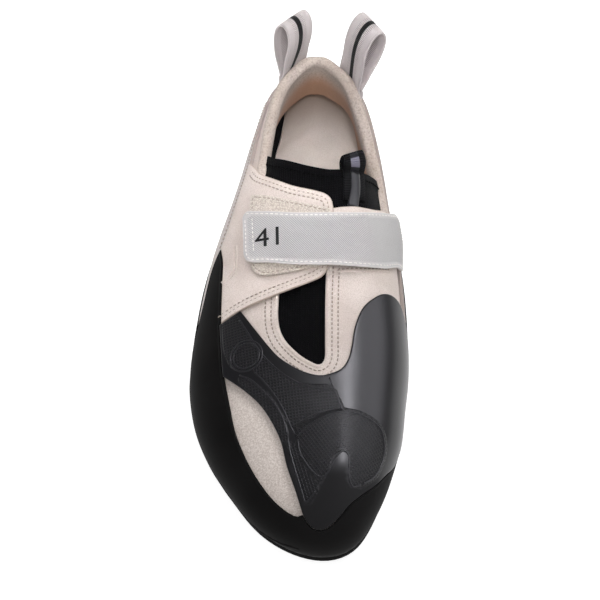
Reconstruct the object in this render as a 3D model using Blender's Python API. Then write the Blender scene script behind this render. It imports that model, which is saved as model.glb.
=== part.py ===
"""A right-foot climbing shoe with one hook-and-loop strap, standing empty on its sole.

Frame: metres, +Z up, the toe towards -Y and the inner (big toe) side towards +X.
The origin lies on the floor, in the middle of the sole's flat spot under the forefoot.

Every soft piece is cut from one surface, the last. The last is spread flat as a
shoemaker's pattern: each section line keeps its true length and runs out from the ridge.
A pattern piece is an outline on that spread, given as shares of the last.
"""

import math
from collections import namedtuple

import bpy
import numpy as np
from mathutils import Vector
from mathutils.geometry import delaunay_2d_cdt

# Driving sizes of the last, in metres
LAST_LENGTH = 0.2306
BALL_WIDTH = 0.0903
INSTEP_HEIGHT = 0.0690
ARCH_RISE = 0.0075
HEEL_TO_ORIGIN = 0.1640
RIDGE_HEEL_INSET = 0.0260
RIDGE_TOE_INSET = 0.0280
FEATHER_TUCK = 0.0035

# Thicknesses and clearances, in metres
GAP = 0.0004
LAYER_GAP = 0.0008
UPPER_WALL = 0.0018
RUBBER_WALL = 0.0016
TOE_PATCH_WALL = 0.0018
SLING_WALL = 0.0014
FLAP_WALL = 0.0014
PAD_WALL = 0.0010
STRAP_WALL = 0.0016
GUSSET_WALL = 0.0012
WEBBING_WALL = 0.0011

# Pull loops and tongue tab: heights and gaps in metres, places in shares of the last
LOOP_GAP = 0.0124
LOOP_RIM = 0.322
LOOP_SEWN = 0.075
LOOP_ROWS = 19
LOOP_BLEND = 0.010
TAB_STAND = 0.0095
TAB_GAP = 0.0040
TAB_HEM = 0.256
TAB_SEWN = 0.075
TAB_DOWN = 0.155
TAB_SPAN = 0.150

# Soles, in metres
SOLE_THICKNESS = 0.0042
SOLE_EDGE = 0.0008
SOLE_CHAMFER = 0.0010
MIDSOLE_THICKNESS = 0.0012
INSOLE_THICKNESS = 0.0018
INSIDE_CLEARANCE = 0.0004

Section = namedtuple("Section", "along lateral medial widest power_lateral power_medial")
# along: share of the length from the heel. lateral, medial: share of the ball width.
# widest: share of the instep height. power: squareness of the section's shoulder.
SECTIONS = [
    Section(0.000, 0.082, 0.082, 0.430, 1.4, 1.4),
    Section(0.020, -0.060, 0.222, 0.430, 1.4, 1.4),
    Section(0.070, -0.168, 0.328, 0.420, 1.42, 1.5),
    Section(0.140, -0.236, 0.380, 0.410, 1.6, 1.75),
    Section(0.220, -0.288, 0.415, 0.390, 2.0, 2.15),
    Section(0.300, -0.338, 0.440, 0.360, 2.35, 2.35),
    Section(0.380, -0.398, 0.466, 0.33, 2.4, 2.45),
    Section(0.460, -0.445, 0.485, 0.3, 2.35, 2.5),
    Section(0.530, -0.472, 0.492, 0.27, 2.3, 2.5),
    Section(0.600, -0.492, 0.492, 0.25, 2.2, 2.5),
    Section(0.660, -0.497, 0.484, 0.23, 2.2, 2.5),
    Section(0.710, -0.484, 0.467, 0.22, 2.2, 2.5),
    Section(0.755, -0.460, 0.454, 0.215, 2.2, 2.4),
    Section(0.800, -0.418, 0.435, 0.21, 2.2, 2.4),
    Section(0.840, -0.368, 0.406, 0.205, 2.2, 2.4),
    Section(0.875, -0.311, 0.377, 0.20, 2.2, 2.3),
    Section(0.920, -0.233, 0.329, 0.19, 2.2, 2.3),
    Section(0.960, -0.135, 0.274, 0.18, 2.2, 2.2),
    Section(0.980, -0.061, 0.235, 0.175, 2.2, 2.2),
    Section(1.000, 0.111, 0.111, 0.17, 2.2, 2.2),
]

Ridge = namedtuple("Ridge", "along across height")
# The ridge carries the tops of the sections. Behind the throat it is only a guide for the walls.
RIDGE = [
    Ridge(0.00, 0.078, 1.54),
    Ridge(0.05, 0.078, 1.46),
    Ridge(0.10, 0.080, 1.31),
    Ridge(0.15, 0.083, 1.14),
    Ridge(0.19, 0.086, 1.04),
    Ridge(0.23, 0.089, 0.985),
    Ridge(0.30, 0.094, 0.93),
    Ridge(0.40, 0.100, 0.85),
    Ridge(0.50, 0.105, 0.77),
    Ridge(0.60, 0.116, 0.705),
    Ridge(0.70, 0.133, 0.64),
    Ridge(0.80, 0.155, 0.575),
    Ridge(0.90, 0.178, 0.510),
    Ridge(0.95, 0.182, 0.480),
    Ridge(1.00, 0.184, 0.450),
]

Rise = namedtuple("Rise", "along height")
# The sole's lift off the floor as a share of the arch rise. Below zero means flat on the floor.
RISES = [
    Rise(0.00, 0.30),
    Rise(0.03, 0.08),
    Rise(0.07, -0.05),
    Rise(0.14, -0.08),
    Rise(0.20, -0.01),
    Rise(0.27, 0.35),
    Rise(0.34, 0.82),
    Rise(0.41, 1.00),
    Rise(0.48, 0.82),
    Rise(0.55, 0.40),
    Rise(0.61, 0.06),
    Rise(0.66, -0.06),
    Rise(0.80, -0.08),
    Rise(0.93, -0.04),
    Rise(1.00, 0.12),
]


def spline(knots, values, at):
    """A natural cubic spline through (knots, values), read at the given places."""
    x = np.asarray(knots, float)
    y = np.asarray(values, float)
    step = np.diff(x)
    slope = np.diff(y) / step
    matrix = np.eye(len(x))
    right = np.zeros(len(x))
    for i in range(1, len(x) - 1):
        matrix[i, i - 1 : i + 2] = step[i - 1], 2 * (step[i - 1] + step[i]), step[i]
        right[i] = 6 * (slope[i] - slope[i - 1])
    bend = np.linalg.solve(matrix, right)
    at = np.asarray(at, float)
    i = np.clip(np.searchsorted(x, at) - 1, 0, len(x) - 2)
    a = (x[i + 1] - at) / step[i]
    b = (at - x[i]) / step[i]
    curve = ((a**3 - a) * bend[i] + (b**3 - b) * bend[i + 1]) * step[i] ** 2 / 6
    return a * y[i] + b * y[i + 1] + curve


def turn_of(along):
    """The section's turn, 0 at the heel and 1 at the toe: it spaces sections closely at both ends."""
    return np.arccos(np.clip(1 - 2 * np.asarray(along, float), -1, 1)) / math.pi


def column(rows, name, along):
    """One column of a table, read along a smooth curve at the given shares of the length."""
    return spline([r.along for r in rows], [getattr(r, name) for r in rows], along)


def round_column(rows, name, along):
    """One column read against the turn instead, so an outline closes with a round tip at heel and toe."""
    return spline([float(turn_of(r.along)) for r in rows], [getattr(r, name) for r in rows], turn_of(along))


def floor_lift(y):
    """How far the sole's underside stands off the floor at y."""
    along = np.clip((HEEL_TO_ORIGIN - np.asarray(y, float)) / LAST_LENGTH, 0, 1)
    return ARCH_RISE * np.maximum(column(RISES, "height", along), 0)


def wall_foot(y):
    """Height at which the upper and the rand end, just over the sole."""
    return floor_lift(y) + SOLE_THICKNESS + GAP


class Last:
    """The last's surface, and its flat spread. Side is -1 for lateral and 1 for medial."""

    TURNS = 241
    ANGLES = 161
    STEPS = 121

    def __init__(self):
        self.turn = np.linspace(0, 1, self.TURNS)
        along = (1 - np.cos(math.pi * self.turn)) / 2
        self.edge_y = HEEL_TO_ORIGIN - LAST_LENGTH * along
        ridge_span = LAST_LENGTH - RIDGE_HEEL_INSET - RIDGE_TOE_INSET
        self.ridge_y = HEEL_TO_ORIGIN - RIDGE_HEEL_INSET - ridge_span * along
        self.along = along
        self.ridge_x = BALL_WIDTH * column(RIDGE, "across", along)
        self.ridge_z = INSTEP_HEIGHT * column(RIDGE, "height", along)
        self.widest_z = INSTEP_HEIGHT * column(SECTIONS, "widest", along)
        steps = np.linspace(0, 1, 101)
        ridge_y = HEEL_TO_ORIGIN - RIDGE_HEEL_INSET - ridge_span * steps
        fall = np.gradient(INSTEP_HEIGHT * column(RIDGE, "height", steps), ridge_y)
        drift = np.gradient(BALL_WIDTH * column(RIDGE, "across", steps), ridge_y)
        self.fall = np.interp(along, steps, fall)
        self.drift = np.interp(along, steps, drift)
        self.foot_z = wall_foot(self.edge_y)
        self.sides = {side: self.build_side(side) for side in (-1, 1)}

    def build_side(self, side):
        names = {-1: ("lateral", "power_lateral"), 1: ("medial", "power_medial")}[side]
        edge_x = BALL_WIDTH * round_column(SECTIONS, names[0], self.along)
        power = column(SECTIONS, names[1], self.along)
        away = np.stack([edge_x - self.ridge_x, self.edge_y - self.ridge_y], axis=1)
        reach = np.linalg.norm(away, axis=1)
        table = {"power": power, "reach": reach, "way_x": away[:, 0] / reach, "way_y": away[:, 1] / reach}
        table["tilt"] = self.fall * (table["way_y"] + self.drift * table["way_x"]) / (1 + self.drift**2)
        angles = np.concatenate([np.linspace(0, 1, self.ANGLES), np.linspace(1, 2, self.STEPS)[1:]])
        grid = np.repeat(angles[None], self.TURNS, axis=0)
        turn = np.repeat(self.turn[:, None], len(angles), axis=1)
        out, height = self.profile(table, turn, grid)
        hops = np.hypot(np.diff(out, axis=1), np.diff(height, axis=1))
        run = np.concatenate([np.zeros((self.TURNS, 1)), np.cumsum(hops, axis=1)], axis=1)
        table["run"] = run[:, -1]
        shares = np.linspace(0, 1, self.STEPS)
        table["place"] = np.array([np.interp(shares, row / row[-1], angles) for row in run])
        return table

    def at(self, values, turn):
        return np.interp(turn, self.turn, values)

    def profile(self, table, turn, place):
        """Distance out from the ridge and height. Place runs 0 to 1 over the shoulder, then 1 to 2 to the foot."""
        power = self.at(table["power"], turn)
        reach = self.at(table["reach"], turn)
        top = self.at(self.ridge_z, turn)
        widest = self.at(self.widest_z, turn)
        foot = self.at(self.foot_z, turn)
        angle = np.clip(place, 0, 1) * math.pi / 2
        sine = np.sin(angle)
        cosine = np.cos(angle)
        size = (sine**power + np.maximum(cosine, 0) ** power) ** (1 / power)
        under = np.clip(place - 1, 0, 1)
        out = reach * sine / size - FEATHER_TUCK * under**2
        crown = np.maximum(cosine, 0) / size
        height = widest + (top - widest + self.at(table["tilt"], turn) * reach * sine / size) * crown
        height -= (widest - foot) * under
        return out, height

    def spread(self, along, down):
        """Shares of the last to a point of the flat spread. Down runs from 0 on the ridge to 1 at the foot, and is negative on the lateral side."""
        turn = turn_of(along)
        down = np.asarray(down, float)
        points = []
        for side in (-1, 1):
            table = self.sides[side]
            run = np.abs(down) * self.at(table["run"], turn)
            x = self.at(self.ridge_x, turn) + self.at(table["way_x"], turn) * run
            y = self.at(self.ridge_y, turn) + self.at(table["way_y"], turn) * run
            points.append(np.stack([x, y], axis=-1))
        return np.where((down < 0)[..., None], points[0], points[1])

    def side_of(self, points):
        """True where a point of the spread is lateral of the ridge and of its run-out at both ends."""
        order = slice(None, None, -1)
        middle = np.interp(points[:, 1], self.ridge_y[order], self.ridge_x[order])
        table = self.sides[1]
        heel = (points[:, 1] - self.ridge_y[0]) * table["way_x"][0] / table["way_y"][0]
        toe = (points[:, 1] - self.ridge_y[-1]) * table["way_x"][-1] / table["way_y"][-1]
        middle = np.where(points[:, 1] > self.ridge_y[0], self.ridge_x[0] + heel, middle)
        middle = np.where(points[:, 1] < self.ridge_y[-1], self.ridge_x[-1] + toe, middle)
        return points[:, 0] < middle

    def turns_at(self, points, side):
        """The turn of the section line that each point of the spread lies on, by halving."""
        table = self.sides[side]
        low = np.zeros(len(points))
        high = np.ones(len(points))
        for _ in range(32):
            turn = (low + high) / 2
            away_x = points[:, 0] - self.at(self.ridge_x, turn)
            away_y = points[:, 1] - self.at(self.ridge_y, turn)
            cross = self.at(table["way_x"], turn) * away_y - self.at(table["way_y"], turn) * away_x
            before = cross * side < 0
            low = np.where(before, turn, low)
            high = np.where(before, high, turn)
        return (low + high) / 2

    def surface(self, points):
        """Points of the spread to points on the last, with the share run down each section."""
        points = np.asarray(points, float).reshape(-1, 2)
        result = np.zeros((len(points), 4))
        lateral = self.side_of(points)
        for side, chosen in ((-1, lateral), (1, ~lateral)):
            if not chosen.any():
                continue
            some = points[chosen]
            table = self.sides[side]
            turn = self.turns_at(some, side)
            start = np.stack([self.at(self.ridge_x, turn), self.at(self.ridge_y, turn)], axis=1)
            share = np.linalg.norm(some - start, axis=1) / self.at(table["run"], turn)
            place = self.read_place(table["place"], turn, np.clip(share, 0, 1))
            out, height = self.profile(table, turn, place)
            x = start[:, 0] + self.at(table["way_x"], turn) * out
            y = start[:, 1] + self.at(table["way_y"], turn) * out
            result[chosen] = np.stack([x, y, height, share], axis=1)
        return result

    def read_place(self, table, turn, share):
        """The table of places, read between its rows and columns."""
        row = np.clip(turn * (self.TURNS - 1), 0, self.TURNS - 1.001)
        step = np.clip(share * (self.STEPS - 1), 0, self.STEPS - 1.001)
        i = row.astype(int)
        j = step.astype(int)
        a = row - i
        b = step - j
        first = table[i, j] * (1 - b) + table[i, j + 1] * b
        second = table[i + 1, j] * (1 - b) + table[i + 1, j + 1] * b
        return first * (1 - a) + second * a

    def shell(self, points, offset):
        """Points of the spread to points that stand off the last by the offset, level at the foot."""
        reach = 0.0006
        points = np.asarray(points, float).reshape(-1, 2)
        at = self.surface(points)
        right = self.surface(points + [reach, 0])[:, :3] - self.surface(points - [reach, 0])[:, :3]
        back = self.surface(points + [0, reach])[:, :3] - self.surface(points - [0, reach])[:, :3]
        normal = np.cross(right, back)
        level = np.clip((at[:, 3] - 0.86) / 0.10, 0, 1)
        normal[:, 2] *= 1 - level
        normal /= np.maximum(np.linalg.norm(normal, axis=1), 1e-12)[:, None]
        return at[:, :3] + normal * np.asarray(offset, float).reshape(-1, 1)


LAST = Last()


# Pattern lines: each place is (along, down), and a place marked CORNER keeps a sharp turn
CORNER = True

COLLAR = [
    (0.000, 0.325),
    (0.018, -0.322),
    (0.050, -0.330),
    (0.095, -0.338),
    (0.138, -0.338),
    (0.170, -0.338),
    (0.206, -0.345),
    (0.247, -0.325),
    (0.275, -0.260),
]
SLOT = [
    (0.300, -0.205),
    (0.430, -0.216),
    (0.552, -0.239),
    (0.622, -0.249),
    (0.667, -0.229),
    (0.709, -0.168),
    (0.737, -0.105),
    (0.749, -0.057),
    (0.736, -0.022),
    (0.690, -0.008),
    (0.587, 0.017),
    (0.508, 0.036),
    (0.400, 0.062),
    (0.358, 0.088),
    (0.347, 0.160),
    (0.346, 0.334),
    (0.342, 0.470),
]
ANKLE = [
    (0.322, 0.580),
    (0.285, 0.612),
    (0.245, 0.580),
    (0.205, 0.515),
    (0.170, 0.452),
    (0.138, 0.405),
    (0.105, 0.345),
    (0.075, 0.315),
    (0.045, 0.308),
    (0.018, 0.316),
]
TONGUE_LINE = [
    (0.190, -0.440, CORNER),
    (0.215, -0.315),
    (0.228, -0.239),
    (0.237, -0.094),
    (0.242, 0.037),
    (0.253, 0.127),
    (0.258, 0.263),
    (0.248, 0.415),
    (0.232, 0.520),
    (0.212, 0.610, CORNER),
    (0.300, 0.695),
    (0.370, 0.620),
    (0.402, 0.450),
    (0.412, 0.220),
    (0.440, 0.140),
    (0.560, 0.095),
    (0.700, 0.060),
    (0.775, 0.010),
    (0.785, -0.080),
    (0.735, -0.220),
    (0.670, -0.305),
    (0.600, -0.320),
    (0.450, -0.290),
    (0.340, -0.285),
    (0.275, -0.370),
]
FLAP_FREE_EDGE = [
    (0.225, -0.405),
    (0.250, -0.345),
    (0.277, -0.293),
    (0.302, -0.154),
    (0.306, -0.019),
    (0.315, 0.034),
    (0.331, 0.070),
    (0.353, 0.085),
    (0.399, 0.090),
    (0.461, 0.076),
    (0.505, 0.045),
    (0.533, -0.001),
    (0.552, -0.109),
    (0.568, -0.251),
    (0.582, -0.421),
    (0.596, -0.550),
]
FLAP_HEM = [
    (0.596, -0.550),
    (0.569, -0.552),
    (0.500, -0.558),
    (0.455, -0.562),
    (0.417, -0.590),
]
SLING_FRONT_LATERAL = [
    (0.417, -0.590),
    (0.441, -0.642),
    (0.469, -0.675),
    (0.518, -0.706),
    (0.552, -0.738),
    (0.578, -0.782),
]
SLING_TOP_LATERAL = [
    (0.417, -0.590),
    (0.375, -0.535),
    (0.312, -0.478),
    (0.235, -0.425),
    (0.150, -0.395),
    (0.080, -0.405),
    (0.030, -0.420),
    (0.000, -0.430),
]
SLING_TOP_MEDIAL = [
    (0.000, 0.430),
    (0.030, 0.425),
    (0.080, 0.445),
    (0.150, 0.545),
    (0.240, 0.670),
    (0.330, 0.715),
    (0.420, 0.705),
    (0.500, 0.695),
    (0.550, 0.710),
    (0.575, 0.760),
]
HEEL_SEAM = [
    (0.578, -0.782),
    (0.500, -0.800),
    (0.400, -0.800),
    (0.300, -0.790),
    (0.200, -0.780),
    (0.100, -0.780),
    (0.030, -0.770),
    (0.000, -0.760),
    (0.030, 0.770),
    (0.100, 0.780),
    (0.200, 0.780),
    (0.300, 0.785),
    (0.400, 0.785),
    (0.500, 0.780),
    (0.575, 0.760),
]
LATERAL_SEAM = [
    (0.596, -0.555),
    (0.640, -0.553),
    (0.685, -0.565),
    (0.709, -0.571),
]
EYE_LOWER_EDGE = [
    (0.709, -0.571),
    (0.765, -0.582),
    (0.822, -0.612),
    (0.885, -0.635),
    (0.942, -0.633),
    (0.973, -0.622),
    (0.984, -0.602),
    (0.987, -0.570),
]
EYE_UPPER_EDGE = [
    (0.709, -0.571),
    (0.765, -0.467),
    (0.811, -0.413),
    (0.872, -0.395),
    (0.922, -0.426),
    (0.963, -0.470),
    (0.987, -0.570),
]
TOE_SEAM = [
    (0.987, -0.570),
    (0.994, -0.615),
    (0.998, -0.637),
    (1.000, 0.612),
    (0.996, 0.522),
    (0.986, 0.467),
    (0.963, 0.484),
    (0.912, 0.585),
    (0.874, 0.658),
    (0.838, 0.745),
    (0.788, 0.815),
    (0.740, 0.835),
    (0.700, 0.835),
]
MEDIAL_SEAM = [
    (0.700, 0.835),
    (0.660, 0.815),
    (0.620, 0.785),
    (0.575, 0.760),
]
PATCH_LOBES = [
    (0.700, 0.835),
    (0.640, 0.775),
    (0.590, 0.700),
    (0.555, 0.630),
    (0.535, 0.560),
    (0.530, 0.487),
    (0.537, 0.406),
    (0.555, 0.335),
    (0.590, 0.249),
    (0.639, 0.195),
    (0.687, 0.172),
    (0.723, 0.145),
    (0.756, 0.085),
    (0.780, -0.005),
    (0.777, -0.075),
    (0.753, -0.168),
    (0.716, -0.254),
    (0.684, -0.301),
    (0.640, -0.355),
    (0.582, -0.435),
]
PATCH_SHOULDER = [
    (0.582, -0.435),
    (0.590, -0.493),
    (0.596, -0.555),
]
PAD_LINE = [
    (0.329, -0.365),
    (0.330, -0.320),
    (0.344, -0.160),
    (0.350, 0.001),
    (0.362, 0.062, CORNER),
    (0.461, 0.052),
    (0.502, 0.020, CORNER),
    (0.515, -0.117),
    (0.520, -0.240),
    (0.517, -0.315),
    (0.496, -0.371),
    (0.460, -0.381),
    (0.390, -0.380),
]
STRAP_LINE = [
    (0.382, -0.402),
    (0.370, -0.375),
    (0.374, -0.300),
    (0.377, -0.107),
    (0.376, 0.173),
    (0.357, 0.400),
    (0.345, 0.560),
    (0.343, 0.650, CORNER),
    (0.440, 0.655, CORNER),
    (0.452, 0.560),
    (0.482, 0.400),
    (0.503, 0.174),
    (0.506, -0.115),
    (0.492, -0.300),
    (0.486, -0.370),
    (0.470, -0.402),
    (0.425, -0.404),
]


def smooth(points, step, closed):
    """Points along a smooth curve through the given places, about one step apart."""
    if len(points) == 2 and not closed:
        count = max(1, round(np.linalg.norm(points[1] - points[0]) / step))
        return points[0] + (points[1] - points[0]) * np.linspace(0, 1, count + 1)[:, None]
    if closed:
        line = np.concatenate([points[-1:], points, points[:2]])
    else:
        line = np.concatenate([[2 * points[0] - points[1]], points, [2 * points[-1] - points[-2]]])
    result = []
    for before, start, end, after in zip(line[:-3], line[1:-2], line[2:-1], line[3:]):
        count = max(1, round(np.linalg.norm(end - start) / step))
        for t in np.arange(count)[:, None] / count:
            bend = 2 * start + (end - before) * t + (2 * before - 5 * start + 4 * end - after) * t**2
            result.append((bend + (3 * start - before - 3 * end + after) * t**3)[None] / 2)
    result = np.concatenate(result)
    return result if closed else np.concatenate([result, line[-2:-1]])


def drawn(places, step):
    """A pattern line as an open curve of the spread, smooth between its corners."""
    points = LAST.spread(np.array([p[0] for p in places]), np.array([p[1] for p in places]))
    cuts = [i for i, p in enumerate(places) if len(p) > 2 or i in (0, len(places) - 1)]
    runs = [smooth(points[a : b + 1], step, False) for a, b in zip(cuts, cuts[1:])]
    return np.concatenate([run[:-1] for run in runs] + [points[-1:]])


def joined(lines, step):
    """A closed outline from pattern lines that run end to end. A line given as (line, -1) runs backwards."""
    runs = []
    for line in lines:
        backwards = isinstance(line, tuple)
        run = drawn(line[0] if backwards else line, step)
        runs.append((run[::-1] if backwards else run)[:-1])
    return np.concatenate(runs)


def closed_line(places, step):
    """A closed outline from one pattern line."""
    return drawn(places + places[:1], step) if any(len(p) > 2 for p in places) else smooth(
        LAST.spread(np.array([p[0] for p in places]), np.array([p[1] for p in places])), step, True
    )


def foot_line(step):
    """The whole foot of the last as a closed outline."""
    turns = np.linspace(0, 1, 400)
    along = (1 - np.cos(math.pi * turns)) / 2
    lateral = LAST.spread(along, np.full(400, -0.9995))
    medial = LAST.spread(along[::-1], np.full(400, 0.9995))
    ring = np.concatenate([lateral, medial[1:-1]])
    hops = np.linalg.norm(np.diff(ring, axis=0, append=ring[:1]), axis=1)
    run = np.concatenate([[0], np.cumsum(hops)])
    places = np.linspace(0, run[-1], max(8, round(run[-1] / step)), endpoint=False)
    ring = np.concatenate([ring, ring[:1]])
    return np.stack([np.interp(places, run, ring[:, 0]), np.interp(places, run, ring[:, 1])], axis=1)


def area(loop):
    """Signed area of a closed outline, positive where it runs anticlockwise."""
    following = np.roll(loop, -1, axis=0)
    return 0.5 * float(np.sum(loop[:, 0] * following[:, 1] - following[:, 0] * loop[:, 1]))


def narrowed(loop, by):
    """The closed outline moved inwards by a distance, or outwards where it is negative."""
    if area(loop) < 0:
        loop = loop[::-1]
    ahead = np.roll(loop, -1, axis=0) - loop
    ahead /= np.linalg.norm(ahead, axis=1)[:, None]
    behind = np.roll(ahead, 1, axis=0)
    inwards = np.stack([-ahead[:, 1] - behind[:, 1], ahead[:, 0] + behind[:, 0]], axis=1)
    size = np.linalg.norm(inwards, axis=1)[:, None]
    inwards /= np.maximum(size, 0.6) ** 2 / 2
    return loop + inwards * by


def inside(points, loop):
    """True for the points within a closed outline."""
    x, y = points[:, 0:1], points[:, 1:2]
    a, b = loop, np.roll(loop, -1, axis=0)
    spans = (a[:, 1] > y) != (b[:, 1] > y)
    rise = np.where(b[:, 1] == a[:, 1], 1e-12, b[:, 1] - a[:, 1])
    crossing = a[:, 0] + (y - a[:, 1]) * (b[:, 0] - a[:, 0]) / rise
    return (spans & (x < crossing)).sum(axis=1) % 2 == 1


def away_from(points, loop):
    """Distance of each point from a closed outline."""
    a = loop[None]
    span = (np.roll(loop, -1, axis=0) - loop)[None]
    offset = points[:, None] - a
    share = np.clip((offset * span).sum(axis=2) / np.maximum((span**2).sum(axis=2), 1e-18), 0, 1)
    return np.linalg.norm(offset - span * share[..., None], axis=2).min(axis=1)


def lattice(loops, spacing):
    """Points of one fixed triangular lattice that lie well inside the outline and outside its holes."""
    low = np.floor((loops[0].min(axis=0) - spacing) / spacing)
    high = np.ceil((loops[0].max(axis=0) + spacing) / spacing)
    rows = np.arange(low[1] * 1.2, high[1] * 1.2)
    columns = np.arange(low[0], high[0])
    grid_x, grid_y = np.meshgrid(columns, np.floor(rows))
    points = np.stack([(grid_x + 0.5 * (grid_y % 2)).ravel(), grid_y.ravel() * 0.866], axis=1) * spacing
    points = points[inside(points, loops[0])]
    for hole in loops[1:]:
        points = points[~inside(points, hole)]
    for loop in loops:
        points = points[away_from(points, loop) > 0.55 * spacing]
    return points


def mixed_lattice(loops):
    """The wide lattice over the middle of the shoe and the close one round the toe, where the last turns tightly."""
    wide = lattice(loops, WIDE)
    close = lattice(loops, CLOSE)
    return np.concatenate([wide[wide[:, 1] >= TOE_LINE], close[close[:, 1] < TOE_LINE - 0.4 * CLOSE]])


def filled(loops, inner):
    """Triangles over the area between an outline and its holes, with inner points, all facing one way."""
    points = np.concatenate(loops + [inner])
    edges = []
    start = 0
    for loop in loops:
        edges += [(start + i, start + (i + 1) % len(loop)) for i in range(len(loop))]
        start += len(loop)
    cut = delaunay_2d_cdt([Vector(p) for p in points], edges, [], 0, 1e-9)
    places = np.array([tuple(p) for p in cut[0]])
    faces = np.array(cut[2])
    middles = places[faces].mean(axis=1)
    keep = inside(middles, loops[0])
    for hole in loops[1:]:
        keep &= ~inside(middles, hole)
    faces = faces[keep]
    corners = places[faces]
    turned = np.cross(corners[:, 1] - corners[:, 0], corners[:, 2] - corners[:, 0]) < 0
    faces[turned] = faces[turned][:, ::-1]
    return places, faces


def rim_edges(faces):
    """The directed edges that only one triangle has."""
    edges = np.concatenate([faces[:, [0, 1]], faces[:, [1, 2]], faces[:, [2, 0]]])
    known = {tuple(e) for e in edges.tolist()}
    return np.array([e for e in edges.tolist() if (e[1], e[0]) not in known])


def solid(name, top, bottom, faces, material):
    """A closed solid from two matching sheets of points and the triangles of the upper one."""
    count = len(top)
    rim = rim_edges(faces)
    a, b = rim[:, 0], rim[:, 1]
    walls = np.concatenate([np.stack([a, a + count, b], axis=1), np.stack([b, a + count, b + count], axis=1)])
    every = np.concatenate([faces, faces[:, ::-1] + count, walls])
    return put(name, np.concatenate([top, bottom]), every, material)


def put(name, points, faces, material):
    """A named object with its own material."""
    mesh = bpy.data.meshes.new(name)
    mesh.from_pydata(points.tolist(), [], faces.tolist())
    mesh.validate()
    mesh.materials.append(material)
    thing = bpy.data.objects.new(name, mesh)
    bpy.context.scene.collection.objects.link(thing)
    return thing


def sheet(name, loops, low, high, material):
    """A pattern piece laid on the last: its faces stand off the last by low and high."""
    places, faces = filled(loops, mixed_lattice(loops))
    low = low(places) if callable(low) else np.full(len(places), low)
    high = high(places) if callable(high) else np.full(len(places), high)
    return solid(name, LAST.shell(places, high), LAST.shell(places, low), faces, material)


def coat(name, color, roughness):
    """A material with a plain colour."""
    material = bpy.data.materials.new(name)
    material.use_nodes = True
    shader = material.node_tree.nodes["Principled BSDF"]
    shader.inputs["Base Color"].default_value = (*color, 1)
    shader.inputs["Roughness"].default_value = roughness
    shader.inputs["Metallic"].default_value = 0
    material.diffuse_color = (*color, 1)
    return material


# How far each layer's faces stand off the last
OVER_UPPER = UPPER_WALL + LAYER_GAP
OVER_FLAP = OVER_UPPER + FLAP_WALL + LAYER_GAP
OVER_PAD = OVER_FLAP + PAD_WALL + LAYER_GAP
EDGE_STEP = 0.0060
WIDE = 0.0080
CLOSE = 0.0046
TOE_LINE = -0.0340
SOLE_SPACING = 0.0120


def build_upper():
    opening = closed_line(COLLAR + SLOT + ANKLE, EDGE_STEP)
    skin = coat("cream_microfibre", (0.67, 0.61, 0.57), 0.85)
    sheet("upper", [foot_line(EDGE_STEP), opening], 0.0, UPPER_WALL, skin)


def build_gusset():
    knit = coat("black_knit", (0.012, 0.012, 0.013), 0.9)
    line = closed_line(TONGUE_LINE, EDGE_STEP)
    sheet("gusset", [line], -LAYER_GAP - GUSSET_WALL, -LAYER_GAP, knit)


def build_rubber():
    seam = GAP / 2
    black = coat("black_rubber", (0.016, 0.015, 0.015), 0.6)
    start = HEEL_SEAM[::-1]
    top = joined(
        [start, SLING_FRONT_LATERAL[::-1], FLAP_HEM[::-1], LATERAL_SEAM, EYE_LOWER_EDGE, TOE_SEAM, MEDIAL_SEAM],
        EDGE_STEP,
    )
    rand_loops = [foot_line(EDGE_STEP), narrowed(top, -seam)]
    sheet("rand", rand_loops, OVER_UPPER, OVER_UPPER + RUBBER_WALL, black)
    patch = joined([LATERAL_SEAM, EYE_UPPER_EDGE, TOE_SEAM, PATCH_LOBES, PATCH_SHOULDER], EDGE_STEP)
    charcoal = coat("charcoal_rubber", (0.055, 0.053, 0.055), 0.5)
    sheet("toe_patch", [narrowed(patch, seam)], OVER_UPPER, OVER_UPPER + TOE_PATCH_WALL, charcoal)
    top_edge = SLING_TOP_LATERAL[:-1] + SLING_TOP_MEDIAL
    sling = joined([HEEL_SEAM, (top_edge, -1), SLING_FRONT_LATERAL], EDGE_STEP)
    grey = coat("light_grey_rubber", (0.50, 0.47, 0.45), 0.6)
    sheet("heel_sling", [narrowed(sling, seam)], OVER_UPPER, OVER_UPPER + SLING_WALL, grey)


def build_flap():
    line = joined([FLAP_FREE_EDGE, FLAP_HEM, SLING_TOP_LATERAL[:4], [SLING_TOP_LATERAL[3], FLAP_FREE_EDGE[0]]], EDGE_STEP)
    skin = coat("cream_suede", (0.68, 0.62, 0.58), 0.9)
    sheet("flap", [narrowed(line, GAP / 2 + 0.0001)], OVER_UPPER, OVER_UPPER + FLAP_WALL, skin)


def build_fastening():
    loop_pile = coat("beige_loop_pile", (0.62, 0.55, 0.48), 0.95)
    sheet("loop_pad", [closed_line(PAD_LINE, EDGE_STEP)], OVER_FLAP, OVER_FLAP + PAD_WALL, loop_pile)
    grey = coat("light_grey_textile", (0.60, 0.59, 0.59), 0.8)
    sheet("strap", [closed_line(STRAP_LINE, EDGE_STEP)], strap_lift, strap_top, grey)


def strap_lift(places):
    """The strap lies on the pad, then comes down past the flap's edge to the upper's inner side."""
    down = LAST.surface(places)[:, 3] * np.where(LAST.side_of(places), -1, 1)
    share = np.clip((down - 0.10) / 0.22, 0, 1)
    share = share * share * (3 - 2 * share)
    return OVER_PAD + (OVER_UPPER - OVER_PAD) * share


def strap_top(places):
    return strap_lift(places) + STRAP_WALL


def ground_outline(offset, step):
    """The last's foot line seen from above, moved out by an offset."""
    return LAST.shell(foot_line(step), offset)[:, :2]


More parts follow.
